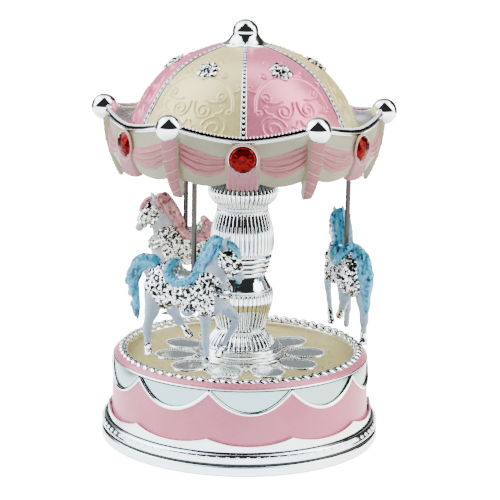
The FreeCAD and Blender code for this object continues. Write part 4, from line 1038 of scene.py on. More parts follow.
s, sb, sr = Soup(), Soup(), Soup()
for k in range(6):
    p0 = 60.0 * k
    zc = 114.6
    rs = float(skirt_r(np.array(p0), np.array(zc)))
    out = cyl(p0, 1.0, 0.0)
    tilt = 0.035
    out = np.array([out[0] * math.cos(tilt), out[1] * math.cos(tilt), -math.sin(tilt)])
    side = cyl(p0 + 90.0, 1.0, 0.0)
    upv = np.cross(side, out)
    upv = upv if upv[2] > 0 else -upv
    o = cyl(p0, rs, zc)

    def ring_pts(rad, h, n, off=0.0):
        a = np.radians(np.arange(n) * 360.0 / n + off)
        return o + side * (rad * np.cos(a))[:, None] + upv * (rad * np.sin(a))[:, None] + out * h

    # faceted stone: table, star, kite and girdle rings
    n = 12
    table = ring_pts(1.9, 2.35, n, 0)
    star = ring_pts(3.1, 2.0, n, 15)
    kite = ring_pts(4.2, 1.35, n, 0)
    gird = ring_pts(4.95, 0.45, 2 * n, 0)
    V = np.vstack([table, star, kite, gird, (o + out * 2.45)[None], ring_pts(4.95, -0.2, 2 * n, 0)])
    F = []
    T, S_, K, G, C, B_ = 0, n, 2 * n, 3 * n, 5 * n, 5 * n + 1
    for i in range(n):
        j = (i + 1) % n
        F += [(C, T + i, T + j), (T + i, S_ + i, T + j), (S_ + i, T + i, K + i), (S_ + i, K + j, T + j), (S_ + i, K + i, K + j)]
        g0, g1, g2 = G + 2 * i, G + (2 * i + 1) % (2 * n), G + (2 * i + 2) % (2 * n)
        F += [(K + i, g0, g1), (K + i, g1, K + j), (K + j, g1, g2)]
    for i in range(2 * n):
        j = (i + 1) % (2 * n)
        F += [(G + i, B_ + i, B_ + j), (G + i, B_ + j, G + j)]
    s.add(V, np.array(F))
    path = ring_pts(5.56, 0.55, 96)
    tube(sb, path, 0.46, 12, closed=True, hint=np.tile(out, (96, 1)), squash=0.85)
    path = ring_pts(5.08, 0.62, 96)
    tube(sr, path, 0.15, 8, closed=True, hint=np.tile(out, (96, 1)))
build("red_stones", s, RUBY, "carousel", ["jewels"], smooth=False)
build("stone_rings", sb, FOLD, "carousel", ["jewel_bezels"])
build("stone_wires", sr, CHROME, "carousel")

# ------------------------------------------------------------------ horses (signed distance fields, then surface nets)


def surface_nets(F, origin, h):
    nx, ny, nz = F.shape
    S = F < 0
    c = S[:-1, :-1, :-1].astype(np.int8)
    for dx in (0, 1):
        for dy in (0, 1):
            for dz in (0, 1):
                if dx + dy + dz:
                    c = c + S[dx:nx - 1 + dx, dy:ny - 1 + dy, dz:nz - 1 + dz]
    act = (c > 0) & (c < 8)
    I, J, K = np.nonzero(act)
    corners = {}
    for dx in (0, 1):
        for dy in (0, 1):
            for dz in (0, 1):
                corners[(dx, dy, dz)] = F[I + dx, J + dy, K + dz].astype(float)
    acc = np.zeros((len(I), 3))
    cnt = np.zeros(len(I))
    for a in corners:
        for ax in range(3):
            if a[ax] == 0:
                b = list(a)
                b[ax] = 1
                fa, fb = corners[a], corners[tuple(b)]
                m = (fa < 0) != (fb < 0)
                tcr = np.where(m, fa / np.where(m, fa - fb, 1.0), 0.0)
                p = np.tile(np.array(a, float), (len(I), 1))
                p[:, ax] += tcr
                acc[m] += p[m]
                cnt[m] += 1
    V = (acc / cnt[:, None] + np.stack([I, J, K], axis=1)) * h + origin
    idx = np.full(act.shape, -1, np.int64)
    idx[I, J, K] = np.arange(len(I))
    faces = []
    for ax in range(3):
        sl0 = [slice(None)] * 3
        sl1 = [slice(None)] * 3
        sl0[ax] = slice(0, -1)
        sl1[ax] = slice(1, None)
        a, b = S[tuple(sl0)], S[tuple(sl1)]
        diff = a != b
        u, w = [(1, 2), (2, 0), (0, 1)][ax]
        g = np.nonzero(diff)
        g = [np.asarray(q_) for q_ in g]
        lim = [nx - 1, ny - 1, nz - 1]
        ok = (g[u] > 0) & (g[w] > 0) & (g[u] < lim[u]) & (g[w] < lim[w])
        g = [q_[ok] for q_ in g]
        inside = a[g[0], g[1], g[2]]

        def cell(du, dw):
            q_ = [g[0].copy(), g[1].copy(), g[2].copy()]
            q_[u] = q_[u] + du
            q_[w] = q_[w] + dw
            return idx[q_[0], q_[1], q_[2]]

        quad = np.stack([cell(-1, -1), cell(0, -1), cell(0, 0), cell(-1, 0)], axis=1)
        quad[~inside] = quad[~inside][:, ::-1]
        faces.append(quad)
    Q = np.concatenate(faces)
    Q = Q[(Q >= 0).all(axis=1)]
    return V, Q


def relax(V, Q, passes=2, w=0.5):
    e = np.concatenate([Q[:, [0, 1]], Q[:, [1, 2]], Q[:, [2, 3]], Q[:, [3, 0]]])
    for _ in range(passes):
        acc = np.zeros_like(V)
        cnt = np.zeros(len(V))
        for k in range(3):
            acc[:, k] = np.bincount(e[:, 0], V[e[:, 1], k], len(V)) + np.bincount(e[:, 1], V[e[:, 0], k], len(V))
        cnt = np.bincount(e[:, 0], minlength=len(V)) + np.bincount(e[:, 1], minlength=len(V))
        V = V * (1 - w) + w * acc / np.maximum(cnt, 1)[:, None]
    return V


class Field:
    """A distance field on a grid; shapes are blended in one at a time."""

    def __init__(self, lo, hi, h):
        self.lo, self.h = np.array(lo, float), h
        n = np.ceil((np.array(hi) - self.lo) / h).astype(int) + 1
        self.X = (self.lo[0] + h * np.arange(n[0])).astype(np.float32)
        self.Y = (self.lo[1] + h * np.arange(n[1])).astype(np.float32)
        self.Z = (self.lo[2] + h * np.arange(n[2])).astype(np.float32)
        self.F = np.full(n, 50.0, np.float32)

    def window(self, lo, hi):
        out = []
        for A, a, b in zip((self.X, self.Y, self.Z), lo, hi):
            i0 = int(np.searchsorted(A, a, "left"))
            i1 = int(np.searchsorted(A, b, "right"))
            out.append(slice(max(0, i0), min(len(A), i1)))
        return tuple(out)

    def pts(self, w):
        return self.X[w[0]][:, None, None], self.Y[w[1]][None, :, None], self.Z[w[2]][None, None, :]

    def blend(self, w, d, k):
        f = self.F[w]
        if k <= 0:
            self.F[w] = np.minimum(f, d)
        else:
            hh = np.clip(0.5 + 0.5 * (f - d) / k, 0, 1)
            self.F[w] = f * (1 - hh) + d * hh - k * hh * (1 - hh)

    def cone(self, a, b, ra, rb, k=1.0, ys=1.0):
        a, b = np.array(a, float), np.array(b, float)
        pad = max(ra, rb) / min(ys, 1.0) + k + 2.0
        w = self.window(np.minimum(a, b) - pad, np.maximum(a, b) + pad)
        x, y, z = self.pts(w)
        ab = b - a
        ab[1] *= ys
        px, py, pz = x - a[0], (y - a[1]) * ys, z - a[2]
        tt_ = np.clip((px * ab[0] + py * ab[1] + pz * ab[2]) / max(ab.dot(ab), 1e-9), 0, 1)
        d = np.sqrt((px - tt_ * ab[0]) ** 2 + (py - tt_ * ab[1]) ** 2 + (pz - tt_ * ab[2]) ** 2) - (ra + (rb - ra) * tt_)
        self.blend(w, (d / max(1.0, ys) if ys > 1 else d).astype(np.float32), k)

    def ell(self, c, r, k=1.0, tilt=0.0):
        c, r = np.array(c, float), np.array(r, float)
        pad = r.max() + k + 2.0
        w = self.window(c - pad, c + pad)
        x, y, z = self.pts(w)
        px, py, pz = x - c[0], y - c[1], z - c[2]
        if tilt:
            ca, sa = math.cos(math.radians(tilt)), math.sin(math.radians(tilt))
            px, pz = px * ca + pz * sa, -px * sa + pz * ca
        k0 = np.sqrt((px / r[0]) ** 2 + (py / r[1]) ** 2 + (pz / r[2]) ** 2)
        k1 = np.sqrt((px / r[0] ** 2) ** 2 + (py / r[1] ** 2) ** 2 + (pz / r[2] ** 2) ** 2)
        d = k0 * (k0 - 1) / np.maximum(k1, 1e-6)
        self.blend(w, d.astype(np.float32), k)

    def polyline(self, pts, radii, k=0.8, ys=1.0):
        for i in range(len(pts) - 1):
            self.cone(pts[i], pts[i + 1], radii[i], radii[i + 1], k, ys)

    def mesh(self, passes=2):
        V, Q = surface_nets(self.F, self.lo, self.h)
        return relax(V, Q, passes), Q


def body_parts(f, legs=True):
    """The bare horse: trunk, neck, head and (optionally) legs."""
    f.cone((-10.0, 0, 64.4), (6.5, 0, 63.8), 6.2, 6.5, 1.0, 1.38)
    f.ell((-11.8, 0, 65.2), (6.4, 4.9, 6.9), 2.0)
    f.ell((-12.6, -2.6, 62.6), (5.0, 2.9, 6.0), 2.0)
    f.ell((-11.8, 2.6, 62.6), (5.0, 2.9, 6.0), 2.0)
    f.ell((8.0, 0, 63.4), (5.6, 4.6, 7.0), 2.0)
    f.ell((8.6, -2.2, 61.6), (3.6, 2.7, 5.0), 1.6)
    f.ell((9.0, 2.2, 61.6), (3.6, 2.7, 5.0), 1.6)
    f.cone((5.6, 0, 66.5), (8.6, 0, 73.0), 6.0, 4.5, 2.0, 1.45)
    f.cone((8.6, 0, 73.0), (11.0, 0, 78.8), 4.5, 3.3, 2.0, 1.40)
    f.cone((11.0, 0, 78.8), (12.4, 0, 81.4), 3.3, 2.6, 1.5, 1.25)
    # head: cheek, face, muzzle
    f.ell((13.9, 0, 77.4), (2.9, 2.15, 3.3), 1.2, tilt=-25)
    f.cone((12.9, 0, 80.0), (16.4, 0, 75.2), 2.65, 1.95, 1.2, 1.12)
    f.cone((16.2, 0, 75.6), (18.2, 0, 71.9), 1.95, 1.55, 0.9, 1.05)
    f.ell((18.5, 0, 71.5), (1.65, 1.45, 1.45), 0.8)
    for sg in (-1, 1):
        f.ell((18.9, 0.75 * sg, 71.9), (0.8, 0.55, 0.75), 0.35)
        f.ell((14.9, 1.75 * sg, 79.0), (1.0, 0.45, 0.7), 0.5)
        f.cone((12.2, 1.25 * sg, 82.2), (13.0, 1.6 * sg, 84.0), 0.95, 0.75, 0.5)
        f.cone((13.0, 1.6 * sg, 84.0), (13.6, 1.65 * sg, 85.0), 0.75, 0.36, 0.3)
    f.ell((-1.2, -2.4, 56.6), (2.6, 1.8, 1.8), 0.8)
    if legs:
        # near fore, straight down
        f.polyline([(6.8, -2.7, 61.0), (6.5, -2.75, 54.6), (6.4, -2.8, 48.6), (6.6, -2.8, 46.2), (6.9, -2.8, 42.6), (7.15, -2.8, 39.6)], [2.9, 2.0, 1.28, 1.42, 1.0, 1.18], 0.9)
        # near hind, back and down
        f.polyline([(-14.0, -2.8, 61.0), (-15.4, -2.8, 55.0), (-17.1, -2.8, 49.6), (-17.2, -2.8, 47.6), (-16.9, -2.8, 43.8), (-17.0, -2.8, 42.0)], [4.2, 2.55, 1.55, 1.5, 1.05, 1.15], 1.0)
        # far hind, tucked forward
        f.polyline([(-11.0, 2.8, 61.0), (-9.7, 2.8, 55.0), (-7.2, 2.8, 51.4), (-6.3, 2.8, 50.4), (-4.9, 2.8, 48.9)], [3.9, 2.3, 1.38, 1.32, 1.0], 0.9)
        # far fore, lifted knee
        f.polyline([(8.9, 2.8, 60.8), (12.8, 2.8, 57.6), (16.0, 2.8, 54.9)], [3.0, 2.05, 1.5], 0.9)
        f.polyline([(16.0, 2.8, 54.9), (15.1, 2.8, 52.4), (12.8, 2.8, 48.2), (11.2, 2.8, 45.2), (10.4, 2.8, 43.4)], [1.55, 1.28, 1.05, 0.98, 1.15], 0.6)


HS = 0.30
f = Field((-22, -8.5, 38), (22, 8.5, 88), HS)
body_parts(f)
skin_mesh = f.mesh(2)

# chrome: harness relief over rump, flank and chest, collar, bridle, hooves
HB = 0.2
g = Field((-21, -8.2, 53), (21.4, 8.2, 87), HB)
body_parts(g, legs=False)
g.polyline([(6.8, -2.7, 61.0), (6.5, -2.75, 54.6)], [2.9, 2.15], 0.9)
g.polyline([(-14.0, -2.8, 61.0), (-15.4, -2.8, 55.0)], [4.2, 2.7], 1.0)
g.polyline([(-11.0, 2.8, 61.0), (-9.7, 2.8, 55.0)], [3.9, 2.4], 0.9)
g.polyline([(8.9, 2.8, 60.8), (12.8, 2.8, 57.6)], [3.0, 2.2], 0.9)
body_d = g.F.copy()
x, y, z = g.pts((slice(None), slice(None), slice(None)))


def ell_d(c, r):
    px, py, pz = (x - c[0]) / r[0], (y - c[1]) / r[1], (z - c[2]) / r[2]
    return ((np.sqrt(px ** 2 + py ** 2 + pz ** 2) - 1) * min(r)).astype(np.float32)


REGIONS = [((-11.8, 0, 64.2), (7.4, 7.2, 8.4)), ((-2.0, 0, 62.6), (10.0, 7.2, 6.8)), ((5.6, 0, 62.4), (6.9, 7.2, 8.3)), ((7.6, 0, 69.5), (5.0, 6.2, 3.6)), ((15.5, 0, 76.7), (4.3, 3.6, 5.7))]
region = np.full(body_d.shape, 50, np.float32)
for c_, r_ in REGIONS:
    region = np.minimum(region, ell_d(c_, r_))
g.F = np.maximum(body_d - 0.42, region)
# crust: many small rosettes and pebbles pressed onto the cloth
cr = np.random.RandomState(21)
surf = np.argwhere((np.abs(body_d - 0.25) < HB * 0.6) & (region < -0.15))
order = cr.permutation(len(surf))
taken = []
for q_ in surf[order]:
    p = g.lo + q_ * HB
    if p[2] < 54:
        continue
    if all((p[0] - a[0]) ** 2 + (p[1] - a[1]) ** 2 + (p[2] - a[2]) ** 2 > 1.0 for a in taken[-1400:]):
        taken.append(p)
    if len(taken) > 900:
        break
for i, p in enumerate(taken):
    big = (i % 7 == 0)
    rad = cr.uniform(0.62, 0.8) if big else cr.uniform(0.38, 0.6)
    if p[2] > 73.5:
        rad = min(rad, 0.62) * 0.8
    w = g.window(p - rad - 0.8, p + rad + 0.8)
    if 0 in [s_.stop - s_.start for s_ in w]:
        continue
    X_, Y_, Z_ = g.pts(w)
    d = np.sqrt((X_ - p[0]) ** 2 + (Y_ - p[1]) ** 2 + (Z_ - p[2]) ** 2) - rad
    if big:
        # a petalled rosette: a ring of five lobes
        ang = np.arctan2(Z_ - p[2], X_ - p[0])
        d = d - 0.22 * np.cos(5 * ang + i)
    g.blend(w, d.astype(np.float32), 0.12)
barding_mesh = g.mesh(1)
BODY_D, BODY_LO = body_d, g.lo.copy()
del region, x, y, z


def body_at(p):
    i_ = np.round((np.asarray(p, float) - BODY_LO) / HB).astype(int)
    i_ = np.clip(i_, 0, np.array(BODY_D.shape) - 1)
    return BODY_D[tuple(i_)]


def hug(path, centre, lift=0.45):
    """A closed strap drawn in (or out) until it lies on the body."""
    c_ = np.array(centre, float)
    o_ = np.array(path, float)
    for n_, p_ in enumerate(o_):
        for t_ in np.linspace(0.25, 1.6, 68):
            q_ = c_ + (p_ - c_) * t_
            if body_at(q_) > lift:
                o_[n_] = q_
                break
    for _ in range(3):
        o_ = 0.25 * np.roll(o_, 1, axis=0) + 0.5 * o_ + 0.25 * np.roll(o_, -1, axis=0)
    return o_


def hug_side(path, lift=0.45):
    """The same for a strap on one flank: only its sideways place changes."""
    o_ = np.atleast_2d(np.array(path, float)).copy()
    for n_, p_ in enumerate(o_):
        sg_ = 1.0 if p_[1] > 0 else -1.0
        if abs(p_[1]) < 0.3:
            continue
        for y_ in np.arange(0.2, 7.5, 0.08):
            if body_at((p_[0], y_ * sg_, p_[2])) > lift:
                o_[n_, 1] = y_ * sg_
                break
    if len(o_) > 4:
        o_[1:-1] = 0.25 * o_[:-2] + 0.5 * o_[1:-1] + 0.25 * o_[2:]
    return o_



chrome = Soup()
chrome.add(*barding_mesh)
hf = Field((-21, -6.5, 33), (17, 6.5, 52), 0.22)
hf.polyline([(7.1, -2.8, 40.4), (7.1, -2.8, 38.6)], [1.32, 1.32], 0.3)
hf.polyline([(7.15, -2.8, 38.4), (7.5, -2.8, 36.1)], [1.2, 1.65], 0.3)
hf.polyline([(-17.0, -2.8, 43.0), (-17.0, -2.8, 42.0)], [1.3, 1.3], 0.3)
hf.polyline([(-17.0, -2.8, 41.6), (-16.8, -2.8, 39.4)], [1.15, 1.6], 0.3)
hf.polyline([(-5.6, 2.8, 49.7), (-4.9, 2.8, 48.9)], [1.35, 1.35], 0.3)
hf.polyline([(-4.6, 2.8, 48.5), (-3.0, 2.8, 46.4)], [1.15, 1.6], 0.3)
hf.polyline([(10.8, 2.8, 44.2), (10.4, 2.8, 43.2)], [1.28, 1.28], 0.3)
hf.polyline([(10.2, 2.8, 42.8), (9.1, 2.8, 40.8)], [1.1, 1.55], 0.3)
# flat soles
xs, ys_, zs = hf.pts((slice(None),) * 3)
for cx, cz, nx_, nz_ in ((7.6, 35.2, 0.15, -1.0), (-16.7, 38.4, 0.1, -1.0), (-2.3, 45.4, 0.62, -0.78), (8.5, 39.7, -0.5, -0.87)):
    near = (xs - cx) ** 2 + (zs - cz) ** 2 < 16
    pl = ((xs - cx) * nx_ + (zs - cz) * nz_).astype(np.float32)
    hf.F = np.where(near + 0 * ys_ > 0, np.maximum(hf.F, pl), hf.F)
chrome.add(*hf.mesh(1))

# collar, girth strap, bridle straps as rounded bands with studs


def loop(centre, normal, ra, rb, n=64):
    nrm = np.array(normal, float)
    nrm /= np.linalg.norm(nrm)
    ey = np.array([0, 1.0, 0])
    ex = np.cross(ey, nrm)
    a = np.linspace(0, 2 * np.pi, n, endpoint=False)
    return np.array(centre) + np.outer(np.cos(a) * ra, ex) + np.outer(np.sin(a) * rb, ey)


def studs(path, r, every=2, tpl=ICO1):
    beads(chrome, path[::every], r, tpl=tpl)


P = hug(loop((8.7, 0, 68.6), (0.5, 0, 0.87), 5.7, 4.6), (8.7, 0, 68.6))
tube(chrome, P, 0.75, 10, closed=True, hint=np.array([0, 1.0, 0.1]))
studs(P + np.array([0.2, 0, 0.3]), 0.62, 2)
P = hug(loop((9.0, 0, 66.2), (0.45, 0, 0.9), 6.4, 5.0), (9.0, 0, 66.2))
tube(chrome, P, 0.55, 8, closed=True, hint=np.array([0, 1.0, 0.1]))
# bridle: browband, cheek straps, noseband, with rosettes where they meet
P = hug(loop((13.6, 0, 79.8), (0.35, 0, 0.94), 2.95, 2.45, 40), (13.6, 0, 79.8), 0.5)
tube(chrome, P, 0.5, 8, closed=True, hint=np.array([0, 1.0, 0.1]))
P = hug(loop((16.9, 0, 74.3), (0.42, 0, -0.9), 2.2, 1.95, 36), (16.9, 0, 74.3), 0.3)
tube(chrome, P, 0.5, 8, closed=True, hint=np.array([0, 1.0, 0.1]))
P = hug(loop((15.7, 0, 76.3), (0.55, 0, -0.85), 2.5, 2.15, 36), (15.7, 0, 76.3), 0.5)
tube(chrome, P, 0.34, 8, closed=True, hint=np.array([0, 1.0, 0.1]))
tube(chrome, smooth_path([(13.6, 0, 82.6), (15.6, 0, 80.3), (17.4, 0, 76.9), (18.6, 0, 74.4)], 26), 0.42, 8)
for sg in (-1, 1):
    tube(chrome, hug_side(smooth_path([(12.2, 2.35 * sg, 79.3), (13.6, 2.6 * sg, 77.2), (15.2, 2.3 * sg, 75.2), (16.6, 2.0 * sg, 74.0)], 26)), 0.5, 8)
    tube(chrome, smooth_path([(11.8, 2.2 * sg, 80.6), (11.5, 2.9 * sg, 77.8), (11.9, 2.7 * sg, 75.3), (13.4, 1.4 * sg, 73.7), (14.0, 0, 73.4)], 26), 0.4, 8)
    for c_, r_ in (((13.4, 2.65 * sg, 79.6), 0.8), ((16.7, 2.1 * sg, 74.0), 0.8), ((12.2, 2.75 * sg, 77.0), 0.6), ((15.0, 2.45 * sg, 77.4), 0.55), ((15.9, 2.1 * sg, 78.2), 0.5)):
        c_ = tuple(hug_side([c_], 0.3)[0])
        beads(chrome, [c_], r_, tpl=ICO2)
        for j in range(6):
            a_ = j * math.pi / 3
            beads(chrome, [np.array(c_) + np.array([math.cos(a_) * r_, 0.1 * sg, math.sin(a_) * r_])], r_ * 0.42)
# medallions on shoulder and hip
for c_ in ((6.0, -5.2, 60.6), (6.0, 5.2, 60.6), (-12.2, -5.4, 63.0), (-12.2, 5.4, 63.0), (9.2, -4.9, 66.6), (9.2, 4.9, 66.6)):
    c_ = hug_side([c_], 0.35)[0]
    for j in range(6):
        a_ = j * math.pi / 3
        beads(chrome, [c_ + np.array([math.cos(a_) * 1.15, 0, math.sin(a_) * 1.15])], 0.72, tpl=ICO2)
    beads(chrome, [c_ + np.array([0, np.sign(c_[1]) * 0.4, 0])], 0.7, tpl=ICO2)

# hair: mane, forelock and tail as bundles of wavy locks over a solid core
HH = 0.24
hm = Field((-29, -7, 47), (22, 7, 88), HH)
crest = smooth_path([(11.2, 0, 83.2), (10.0, 0, 83.4), (8.2, 0, 81.4), (6.2, 0, 78.2), (4.6, 0, 75.0), (3.1, 0, 72.0), (1.8, 0, 70.0)], 40)
cw = np.interp(np.linspace(0, 1, 40), [0, 0.2, 0.5, 0.8, 1], [1.2, 2.1, 2.7, 2.3, 1.6])
for i in range(0, 39):
    hm.cone(crest[i], crest[i + 1], cw[i], cw[i + 1], 0.5, 0.95)
hr = np.random.RandomState(33)
for i in range(1, 38, 2):
    for sg in (-1, 1):
        p0 = crest[i] + np.array([0, 0.6 * sg, 0.3])
        out_ = np.array([-0.75, 1.0 * sg, -0.25])
        L = 3.2 + 1.6 * math.sin(i * 1.7)
        p1 = p0 + np.array([0.9, 2.0 * sg, -1.2])
        p2 = p0 + np.array([-0.2 + 0.9 * math.sin(i), 2.7 * sg, -L * 0.75])
        p3 = p0 + np.array([-1.3 + 0.5 * math.cos(i), 2.6 * sg, -L * 1.25])
        pts = smooth_path([p0, p1, p2, p3], 8)
        hm.polyline(list(pts), list(np.linspace(0.95, 0.42, 8)), 0.22)
    p0 = crest[i]
    pts = smooth_path([p0, p0 + np.array([-2.0, 0.3 * math.sin(i), 1.2]), p0 + np.array([-3.0, 0.2, -0.6]), p0 + np.array([-2.4, 0, -2.6])], 7)
    hm.polyline(list(pts), list(np.linspace(1.0, 0.5, 7)), 0.25)
# forelock
for dy in (-0.55, 0.55):
    pts = smooth_path([(13.4, dy * 0.6, 83.2), (14.8, dy * 1.2, 82.7), (16.5, dy * 1.3, 81.3), (17.7, dy * 1.2, 79.7), (18.2, dy, 77.9)], 14)
    hm.polyline(list(pts), list(np.interp(np.linspace(0, 1, 14), [0, 0.4, 1], [0.8, 0.85, 0.35])), 0.3)
# tail: a core and strands twisting round it
spine = smooth_path([(-14.3, 0, 71.3), (-16.2, -0.1, 73.0), (-18.8, -0.3, 73.2), (-21.4, -0.6, 71.8), (-23.2, -0.9, 69.0), (-24.0, -1.1, 65.4), (-23.4, -1.5, 61.6), (-22.4, -1.8, 57.8), (-22.2, -2.2, 54.4), (-21.3, -2.4, 51.4)], 60)
srad = np.interp(np.linspace(0, 1, 60), [0, 0.12, 0.35, 0.6, 0.8, 0.93, 1], [1.4, 2.0, 2.35, 1.95, 1.45, 1.1, 0.5]) * (1 + 0.10 * np.sin(np.linspace(0, 31, 60)))
for i in range(59):
    hm.cone(spine[i], spine[i + 1], srad[i] * 0.82, srad[i + 1] * 0.82, 0.3)
T_ = np.gradient(spine, axis=0)
T_ /= np.linalg.norm(T_, axis=1, keepdims=True)
Nn = np.cross(T_, np.array([0, 1.0, 0]))
Nn /= np.linalg.norm(Nn, axis=1, keepdims=True)
Bb = np.cross(T_, Nn)
for j in range(9):
    a0 = j * 2 * np.pi / 9
    tw_ = np.linspace(0, 2.6, 60) + 0.25 * np.sin(np.linspace(0, 9, 60) + j)
    off = srad * (0.78 + 0.16 * np.sin(np.linspace(0, 14, 60) + j * 1.3))
    pth = spine + Nn * (np.cos(a0 + tw_) * off)[:, None] + Bb * (np.sin(a0 + tw_) * off)[:, None]
    hm.polyline(list(pth[::3]), list((srad * 0.36 + 0.1)[::3]), 0.18)
# curls standing off the tail
for (cx, cz, ww, dz) in ((-24.9, 68.6, 1.2, -1.3), (-25.9, 65.0, 1.45, -1.5), (-24.9, 60.6, 1.15, -1.2), (-24.0, 56.4, 1.0, -1.0), (-20.6, 72.6, 1.0, -0.8), (-22.6, 71.6, 1.1, -1.0)):
    pts = smooth_path([(cx + 1.5, -1.2, cz + 1.6), (cx + 0.2, -1.6, cz + 0.8), (cx - 0.5, -1.7, cz - 0.6), (cx + 0.3, -1.5, cz + dz)], 8)
    hm.polyline(list(pts), list(np.linspace(ww, ww * 0.4, 8)), 0.25)
hair_mesh = hm.mesh(1)
hair = Soup()
hair.add(*hair_mesh)
# rolled saddle edge, ribbed like a rope
for sg in (-1, 1):
    pth = smooth_path([(-7.2, 0.0, 73.9), (-7.8, 2.0 * sg, 73.4), (-8.5, 3.8 * sg, 71.4), (-7.2, 4.8 * sg, 69.0), (-3.8, 5.2 * sg, 67.6), (0.0, 5.1 * sg, 68.6), (2.4, 4.2 * sg, 70.6), (3.4, 2.4 * sg, 72.0), (3.8, 0.0, 72.4)], 140)
    tt_ = np.linspace(0, 1, 140)
    rad = np.interp(tt_, [0, 0.3, 0.6, 1], [1.35, 1.75, 1.5, 1.3]) * (1 + 0.10 * np.abs(np.sin(tt_ * 46)))
    tube(hair, pth, rad, 16, hint=np.array([0, 1.0, 0.2]))

sf = Field((-9, -6.5, 64), (5, 6.5, 75), 0.25)
sf.ell((-2.0, 0, 68.4), (5.6, 5.2, 2.6), 0.5)
sf.ell((-6.4, 0, 70.6), (1.7, 3.6, 2.6), 1.5)
sf.ell((2.6, 0, 70.3), (1.4, 2.8, 2.0), 1.5)
seat = Soup()
seat.add(*sf.mesh(2))

# eyes
eye = Soup()
for sg in (-1, 1):
    beads(eye, hug_side([(15.2, 2.02 * sg, 78.75)], 0.55), 0.5, tpl=ICO2)
    v, f_ = ICO2
EYE = lacquer("eye_gloss", (0.012, 0.014, 0.02), (0.004, 0.004, 0.006), 0.05, 1.0, sparkle=0.1)


def placed(soup, heading, pos, lift):
    c, s_ = math.cos(math.radians(heading)), math.sin(math.radians(heading))
    o = Soup()
    for v, f_, m_ in zip(soup.v, soup.f, soup.m):
        V = np.stack([v[:, 0] * c - v[:, 1] * s_ + pos[0], v[:, 0] * s_ + v[:, 1] * c + pos[1], v[:, 2] + lift], axis=1)
        o.v.append(V)
    o.f, o.m, o.n = soup.f, soup.m, soup.n
    return o


skin = Soup()
skin.add(*skin_mesh)
for i, (heading, ph_, lift, hairmat) in enumerate(((-25.5, -25.5, 0.2, BLUE), (102.5, 94.5, 0.0, BLUE), (-165.0, 214.5, 1.0, ROSE)), 1):
    px, py = 39.5 * math.sin(math.radians(ph_)), -39.5 * math.cos(math.radians(ph_))
    node = ["horse_%d" % i]
    rider = "rider_%d" % i
    build("horse_%d_skin" % i, placed(skin, heading, (px, py), lift), SKIN_PALE if i == 3 else SKIN, rider, node)
    build("horse_%d_harness" % i, placed(chrome, heading, (px, py), lift), CRUST_PALE_SHADED if i == 3 else CHROME_CRUST_SHADED, rider, node)
    build("horse_%d_hair" % i, placed(hair, heading, (px, py), lift), hairmat, rider, node)
    build("horse_%d_seat" % i, placed(seat, heading, (px, py), lift), SEAT, rider, node)
    build("horse_%d_eyes" % i, placed(eye, heading, (px, py), lift), EYE, rider, node)

# ------------------------------------------------------------------ finishes of the CAD pieces that stay in view
CAD_MATS = {
    "base_plate": PLATE, "base_screws": STEEL, "bedplate_screws": STEEL, "comb_screws": STEEL, "canopy_screws": STEEL,
    "bedplate": ZINC, "comb": STEEL, "mainspring": STEEL, "deck_bearing": BRASS, "top_bearing": BRASS,
    "music_cylinder": BRASS, "spring_barrel": BRASS, "governor_gear": BRASS, "guide_bushes": BRASS, "governor_pinion": BRASS,
    "crown_wheel": ACETAL, "cylinder_pinion": ACETAL, "governor_fly": ACETAL, "shaft_hub": ACETAL,
    "drive_shaft": STEEL, "cylinder_axle": STEEL, "governor_arbor": STEEL, "winding_arbor": STEEL,
    "rod_collar_1": STEEL, "rod_collar_2": STEEL, "rod_collar_3": STEEL, "rod_1": ROD, "rod_2": ROD, "rod_3": ROD,
    # the canopy floor and dome cap take the near-black board, painted shade under the canopy
    "winding_key": CHROME_SOFT, "canopy_floor": SHADED_BOARD, "dome_cap": SHADED_BOARD,
}
for name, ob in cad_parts.items():
    if name in CAD_MATS:
        ob.data.materials.clear()
        ob.data.materials.append(CAD_MATS[name])

# ------------------------------------------------------------------ stage, light and camera
scene = bpy.context.scene
me = bpy.data.meshes.new("floor")
R = 6.0
me.from_pydata([(-R, -R, 0), (R, -R, 0), (R, R, 0), (-R, R, 0)], [], [(0, 1, 2, 3)])
floor = bpy.data.objects.new("floor", me)
scene.collection.objects.link(floor)
m, nt, b = new_mat("floor_white")
n1, co = noise_of(nt, 6.0, 3.0, 0.5)
rp = ramp_of(nt, n1.outputs["Fac"], [(0.3, (0.93, 0.93, 0.93)), (0.7, (0.97, 0.97, 0.97))])
nt.links.new(rp.outputs["Color"], b.inputs["Base Color"])
b.inputs["Roughness"].default_value = 0.6
b.inputs["Emission Color"].default_value = (1, 1, 1, 1)
# The floor's glow is dimmed where ambient occlusion finds the object close by: a painted contact shadow round the base.
ao = nt.nodes.new("ShaderNodeAmbientOcclusion")
ao.inputs["Distance"].default_value = 0.03
ao.samples = 8
mr = map_of(nt, ao.outputs["AO"], 2.2, 24.0, 0.25, 0.80)
nt.links.new(mr.outputs["Result"], b.inputs["Emission Strength"])
me.materials.append(m)
floor.visible_diffuse = False
floor.visible_glossy = False

